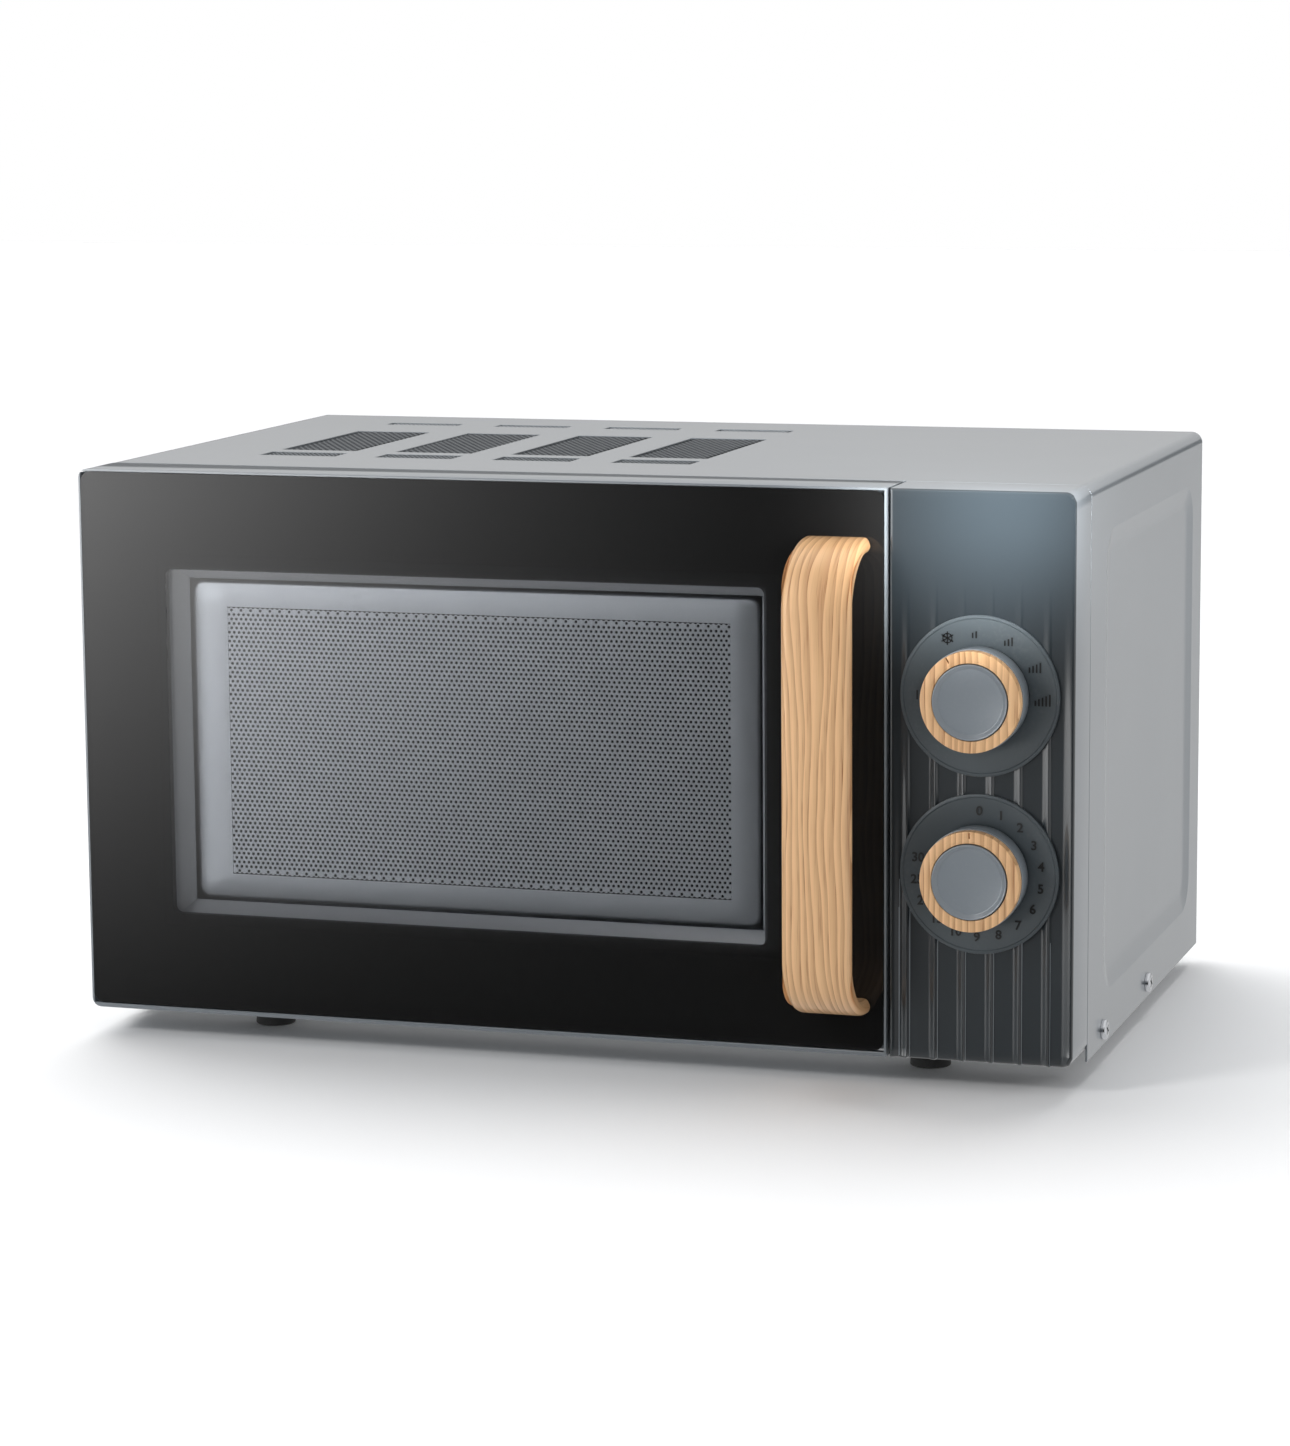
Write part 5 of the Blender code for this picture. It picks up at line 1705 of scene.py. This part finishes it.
@dataclass
class Handle:
    """The oak handle: a flat bar bent back to the door at both ends."""

    node: str = "door_handle"
    outer: Span = (0.0350, 0.0280)
    inner: Span = (0.0280, 0.0125)
    leg: float = 0.0065
    edge: float = 0.0034
    thickness: float = 0.007
    grain_bend: float = 0.030
    steps: int = 24

    def build(self) -> None:
        """Draw the outline, give it its width and rounded edges, and lay the grain along it."""
        low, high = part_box(self.node)
        curve = bpy.data.curves.new("oak_handle_bar", "CURVE")
        curve.dimensions = "2D"
        curve.fill_mode = "BOTH"
        points = self.outline(low, high)
        line = curve.splines.new("POLY")
        line.points.add(len(points) - 1)
        for point, place in zip(line.points, points):
            point.co = (*place, 0, 1)
        line.use_cyclic_u = True
        width = high.x - low.x
        curve.extrude = width / 2 - self.edge
        curve.bevel_depth = self.edge
        curve.bevel_resolution = 6
        curve.offset = -self.edge
        bar = Blank.drawn(curve)
        seat = Matrix.Translation(((low.x + high.x) / 2, FRONT, 0))
        stand = Matrix(((0, 0, 1, 0), (1, 0, 0, 0), (0, 1, 0, 0), (0, 0, 0, 1)))
        bar.obj.data.transform(seat @ stand)
        with bar.edit():
            bpy.ops.mesh.select_all(action="SELECT")
            bpy.ops.mesh.remove_doubles(threshold=1e-6)
            bpy.ops.mesh.normals_make_consistent(inside=False)
        self.lay_grain(bar.obj, low, high)
        bar.fit(Body.DOOR, Finishes.oak, Slot.OAK, self.node, smooth=50.0)

    def outline(self, low: Vector, high: Vector) -> list[Span]:
        """Give the bar's outline seen from the side, as depth and height.

        Args:
            low: The handle's lowest corner.
            high: The handle's highest corner.

        Returns:
            The points, round the outside from the top leg and back along the inside.
        """
        reach, foot = depth_of(low), depth_of(high)
        outer = self.quarter(reach, high.z, self.outer, foot)
        inner = self.quarter(reach + self.thickness, high.z - self.leg, self.inner, foot)
        lower_outer = [(deep, low.z + high.z - z) for deep, z in reversed(outer)]
        lower_inner = [(deep, low.z + high.z - z) for deep, z in inner]
        return outer + lower_outer + lower_inner + inner[::-1]

    def quarter(self, front: float, top: float, size: Span, foot: float) -> list[Span]:
        """Give a quarter of an ellipse from the door round to the bar.

        Args:
            front: The depth of the bar's face on that side.
            top: The height of the leg's face on that side.
            size: The ellipse's half axes, as depth and height.
            foot: The depth where the leg ends at the door.

        Returns:
            The points, from the door to the bar.
        """
        points = []
        for index in range(self.steps + 1):
            turn = math.pi / 2 * index / self.steps
            deep = front + size[0] * (1 - math.sin(turn))
            z = top - size[1] * (1 - math.cos(turn))
            points.append((min(deep, foot), z))
        if points[0][0] < foot - 1e-4:
            points.insert(0, (foot, top))
        return points

    def lay_grain(self, obj: bpy.types.Object, low: Vector, high: Vector) -> None:
        """Store for each point its place across the bar, through it and along it, for the wood's lines.

        Args:
            obj: The handle.
            low: The handle's lowest corner.
            high: The handle's highest corner.
        """
        reach = depth_of(low)
        grain = obj.data.attributes.new("grain", "FLOAT_VECTOR", "POINT")
        half = (high.z - low.z) / 2
        middle = (high.z + low.z) / 2
        bend = half - self.outer[1]
        for vert, item in zip(obj.data.vertices, grain.data):
            up = abs(vert.co.z - middle)
            sign = 1 if vert.co.z > middle else -1
            deep = depth_of(vert.co) - reach
            along, through = up, deep
            if up > bend:
                past, behind = (up - bend) / self.outer[1], (self.outer[0] - deep) / self.outer[0]
                along = bend + math.atan2(past, behind) * self.grain_bend
                through = (1 - math.hypot(past, behind)) * self.grain_bend
            item.vector = (vert.co.x, through, sign * along)


@dataclass
class LatchSpring:
    """The coil that pushes the latch down, made at one length; in the oven it shortens as the latch lifts."""

    node: str = "latch_spring"
    lift: float = 0.005
    turns: int = 6
    steps: int = 16
    wire: float = 0.0004

    def build(self) -> None:
        """Wind the coil."""
        low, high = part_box(self.node)
        middle = (low + high) / 2
        radius = (high.x - low.x) / 2 - self.wire
        length = high.z - low.z
        curve = bpy.data.curves.new("latch_coil", "CURVE")
        curve.dimensions = "3D"
        curve.bevel_depth = self.wire
        curve.bevel_resolution = 2
        curve.use_fill_caps = True
        line = curve.splines.new("POLY")
        count = self.turns * self.steps
        line.points.add(count)
        for index, point in enumerate(line.points):
            turn = 2 * math.pi * index / self.steps
            z = low.z + self.wire + (length - 2 * self.wire) * index / count
            point.co = (middle.x + radius * math.cos(turn), middle.y + radius * math.sin(turn), z, 1)
        coil = Blank.drawn(curve)
        coil.fit(Body.DOOR, Finishes.zinc, Slot.ZINC, self.node)
        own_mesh(coil.obj)


# The inner parts keep the frame's own solids


@dataclass
class InnerParts:
    """The frame's own solids that stay, each in its finish."""

    groups: dict[Finish, Sequence[str]] = field(default_factory=lambda: {
        Finishes.casing: ("back_panel",),
        Finishes.zinc: ("base_plate", "upper_hinge", "lower_hinge", "handle_screw_upper",
                        "handle_screw_lower", "timer_shaft", "power_shaft", "turntable_motor",
                        "waveguide"),
        Finishes.cavity: ("front_plate", "cavity"),
        Finishes.dark: ("choke_cover", "door_latch", "interlock_bracket", "primary_switch",
                        "monitor_switch", "fan_shroud", "fan_blade"),
        Finishes.white: ("primary_plunger", "monitor_plunger", "timer_unit", "power_selector",
                         "turntable_coupler", "roller_ring", "roller_1", "roller_2", "roller_3", "lamp"),
        Finishes.plate: ("turntable_plate",),
        Finishes.fins: ("magnetron", "hv_capacitor"),
        Finishes.mica: ("waveguide_cover",),
        Finishes.core: ("transformer_core", "fan_motor"),
        Finishes.copper: ("transformer_winding",),
        Finishes.rubber: ("cord_gland",),
    })

    def build(self) -> None:
        """Dress each solid in its finish."""
        for finish, nodes in self.groups.items():
            for node in nodes:
                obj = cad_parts[node]
                if not obj.material_slots:
                    obj.data.materials.append(None)
                for slot in obj.material_slots:
                    slot.material = finish.material()
                log.info("%s keeps its solid, in %s", node, finish.name)


# The studio


@dataclass(frozen=True)
class SoftPanel:
    """One soft light panel.

    Attributes:
        name: Its name.
        place: Where it hangs.
        target: What it points at.
        size: The length of its sides.
        power: Its power in watts.
        spread: How wide its beam opens, in degrees.
    """

    name: str
    place: Spot
    target: Spot
    size: float
    power: float
    spread: float = 180.0

    def hang(self) -> None:
        """Hang the panel, out of sight of the camera and of mirrored views."""
        Blank.clear()
        bpy.ops.object.light_add(type="AREA", location=self.place)
        lamp = bpy.context.object
        lamp.name = self.name
        lamp.data.size = self.size
        lamp.data.energy = self.power
        lamp.data.spread = math.radians(self.spread)
        lamp.visible_glossy = False
        lamp.visible_camera = False
        aim = Vector(self.target) - Vector(self.place)
        lamp.rotation_euler = aim.to_track_quat("-Z", "Y").to_euler()


@dataclass
class Studio:
    """The floor, the lights, the world and the camera."""

    key_power: float = 2.55
    key_angle: float = 60.0
    key_tilt: Span = (-28.0, -20.0)
    soft_power: float = 0.44
    panels: tuple[SoftPanel, ...] = (
        SoftPanel("right_panel", (2.0, 0.4, 0.8), (0, 0, 0.12), 1.4, 8),
        SoftPanel("control_panel_light", (0.240, FRONT - 0.14, 0.260), (0.184, FRONT, 0.246), 0.04, 0.19, 46),
        SoftPanel("left_panel", (-0.8, -1.2, 0.95), (0.05, 0, 0.12), 0.35, 6.5))
    lens: float = 107.91
    place: Spot = (0.57933094, -1.70980077 + FRONT, 0.41869361 + 0.012)
    pitch: float = 8.93135
    azimuth: float = -17.60197
    roll: float = -0.44519

    def build(self) -> None:
        """Set everything up."""
        self.floor()
        self.world()
        self.lights()
        self.camera()
        bpy.context.scene.view_settings.view_transform = "Standard"

    def floor(self) -> None:
        """Lay a large white floor that mirrors in nothing."""
        Blank.clear()
        bpy.ops.mesh.primitive_plane_add(size=14, location=(0, 0, 0))
        floor = Blank.taken("studio_floor")
        paper = bpy.data.materials.new("white_paper")
        paper.use_nodes = True
        shader = paper.node_tree.nodes["Principled BSDF"]
        shader.inputs["Base Color"].default_value = (0.93, 0.93, 0.93, 1)
        shader.inputs["Roughness"].default_value = 0.9
        shader.inputs["Specular IOR Level"].default_value = 0.1
        floor.obj.data.materials.append(paper)
        floor.obj.visible_glossy = False

    def world(self) -> None:
        """Light from all round: white to the camera, and graded from left to right in reflections."""
        world = bpy.data.worlds.new("studio")
        bpy.context.scene.world = world
        world.use_nodes = True
        wiring = Wiring(world.node_tree)
        world.node_tree.nodes.clear()
        output = wiring.add("OutputWorld")
        soft = wiring.add("Background")
        soft.inputs["Color"].default_value = (0.95, 0.97, 1.0, 1)
        soft.inputs["Strength"].default_value = self.soft_power
        seen = wiring.add("Background")
        seen.inputs["Color"].default_value = (1, 1, 1, 1)
        seen.inputs["Strength"].default_value = 1.0
        mirrored = wiring.add("Background")
        wiring.join(self.gradient(wiring), mirrored.inputs["Strength"])
        path = wiring.add("LightPath")
        first = wiring.add("MixShader")
        wiring.join(path.outputs["Is Glossy Ray"], first.inputs[0])
        wiring.join(soft.outputs[0], first.inputs[1])
        wiring.join(mirrored.outputs[0], first.inputs[2])
        second = wiring.add("MixShader")
        wiring.join(path.outputs["Is Camera Ray"], second.inputs[0])
        wiring.join(first.outputs[0], second.inputs[1])
        wiring.join(seen.outputs[0], second.inputs[2])
        wiring.join(second.outputs[0], output.inputs["Surface"])

    def gradient(self, wiring: Wiring) -> Socket:
        """Grade the mirrored surroundings: a bright panel at the left in front, and the white room.

        Args:
            wiring: The world's node tree.

        Returns:
            The brightness in a direction.
        """
        parts = wiring.add("SeparateXYZ")
        wiring.join(wiring.add("TexCoord").outputs["Generated"], parts.inputs[0])
        x, y, z = parts.outputs

        def ramp(value: Socket, start: float, end: float, top: float, power: float = 1.0) -> Socket:
            """Raise the brightness with a share of the direction.

            Args:
                value: The share, along one axis.
                start: Where the rise starts.
                end: Where it ends.
                top: The brightness there.
                power: How late it rises.

            Returns:
                The brightness.
            """
            share = wiring.add("MapRange")
            wiring.join(value, share.inputs["Value"])
            share.inputs["From Min"].default_value = start
            share.inputs["From Max"].default_value = end
            curve = wiring.add("Math", operation="POWER")
            wiring.join(share.outputs[0], curve.inputs[0])
            curve.inputs[1].default_value = power
            return wiring.span(curve.outputs[0], 0.0, top)

        left = wiring.sum(ramp(x, -0.235, -0.45, 7.5, 2.7), ramp(z, -0.24, -0.10, 1.0, 1.6), "MULTIPLY")
        left = wiring.sum(left, ramp(y, -0.15, -0.6, 1.0), "MULTIPLY")
        sky = wiring.sum(ramp(z, 0.05, 0.6, 1.1), ramp(z, -0.26, -0.5, 0.8))
        offset = wiring.add("Math", operation="ABSOLUTE")
        wiring.join(z, offset.inputs[0])
        line = wiring.span(ramp(offset.outputs[0], 0.03, 0.09, 1.0), 0.1, 1.0)
        back = wiring.sum(ramp(y, -0.1, 0.5, 0.78), line, "MULTIPLY")
        room = wiring.sum(back, ramp(x, 0.35, 0.95, 1.1), "MAXIMUM")
        return wiring.sum(left, wiring.sum(sky, room, "MAXIMUM"))

    def lights(self) -> None:
        """Hang a wide soft key above and behind the oven, and the soft panels around it."""
        Blank.clear()
        pitch, roll = (math.radians(angle) for angle in self.key_tilt)
        bpy.ops.object.light_add(type="SUN", rotation=(pitch, roll, 0))
        key = bpy.context.object
        key.name = "key_sky"
        key.data.energy = self.key_power
        key.data.angle = math.radians(self.key_angle)
        key.visible_glossy = False
        for panel in self.panels:
            panel.hang()

    def camera(self) -> None:
        """Set the camera from its place, pitch, azimuth and roll."""
        Blank.clear()
        bpy.ops.object.camera_add(location=self.place)
        eye = bpy.context.object
        eye.name = "studio_camera"
        eye.data.lens = self.lens
        eye.data.sensor_width = 36.0
        eye.data.sensor_fit = "AUTO"
        down, turn, tilt = (math.radians(v) for v in (self.pitch, self.azimuth, self.roll))
        ahead = Vector((math.sin(turn) * math.cos(down), math.cos(turn) * math.cos(down), -math.sin(down)))
        right = Vector((math.cos(turn), -math.sin(turn), 0))
        up = right.cross(ahead)
        rolled = right * math.cos(tilt) + up * math.sin(tilt)
        risen = up * math.cos(tilt) - right * math.sin(tilt)
        turned = Matrix((rolled, risen, -ahead)).transposed().to_4x4()
        eye.matrix_world = Matrix.Translation(self.place) @ turned
        bpy.context.scene.camera = eye


def main() -> None:
    """Build the sub-assemblies in order, then the studio."""
    logging.basicConfig(level=logging.INFO, format="%(name)s: %(message)s")
    Wrapper().build()
    Trimmings().build()
    ControlPanel().build()
    power = Dial("power", Body.POWER, 119.0)
    timer = Dial("timer", Body.TIMER, 90.0)
    power.build()
    timer.build()
    Marks(power.centre).power()
    Marks(timer.centre).timer()
    DoorFrame().build()
    DoorGlass().build()
    Screen().build()
    Handle().build()
    LatchSpring().build()
    InnerParts().build()
    Studio().build()


if __name__ == "__main__":
    main()
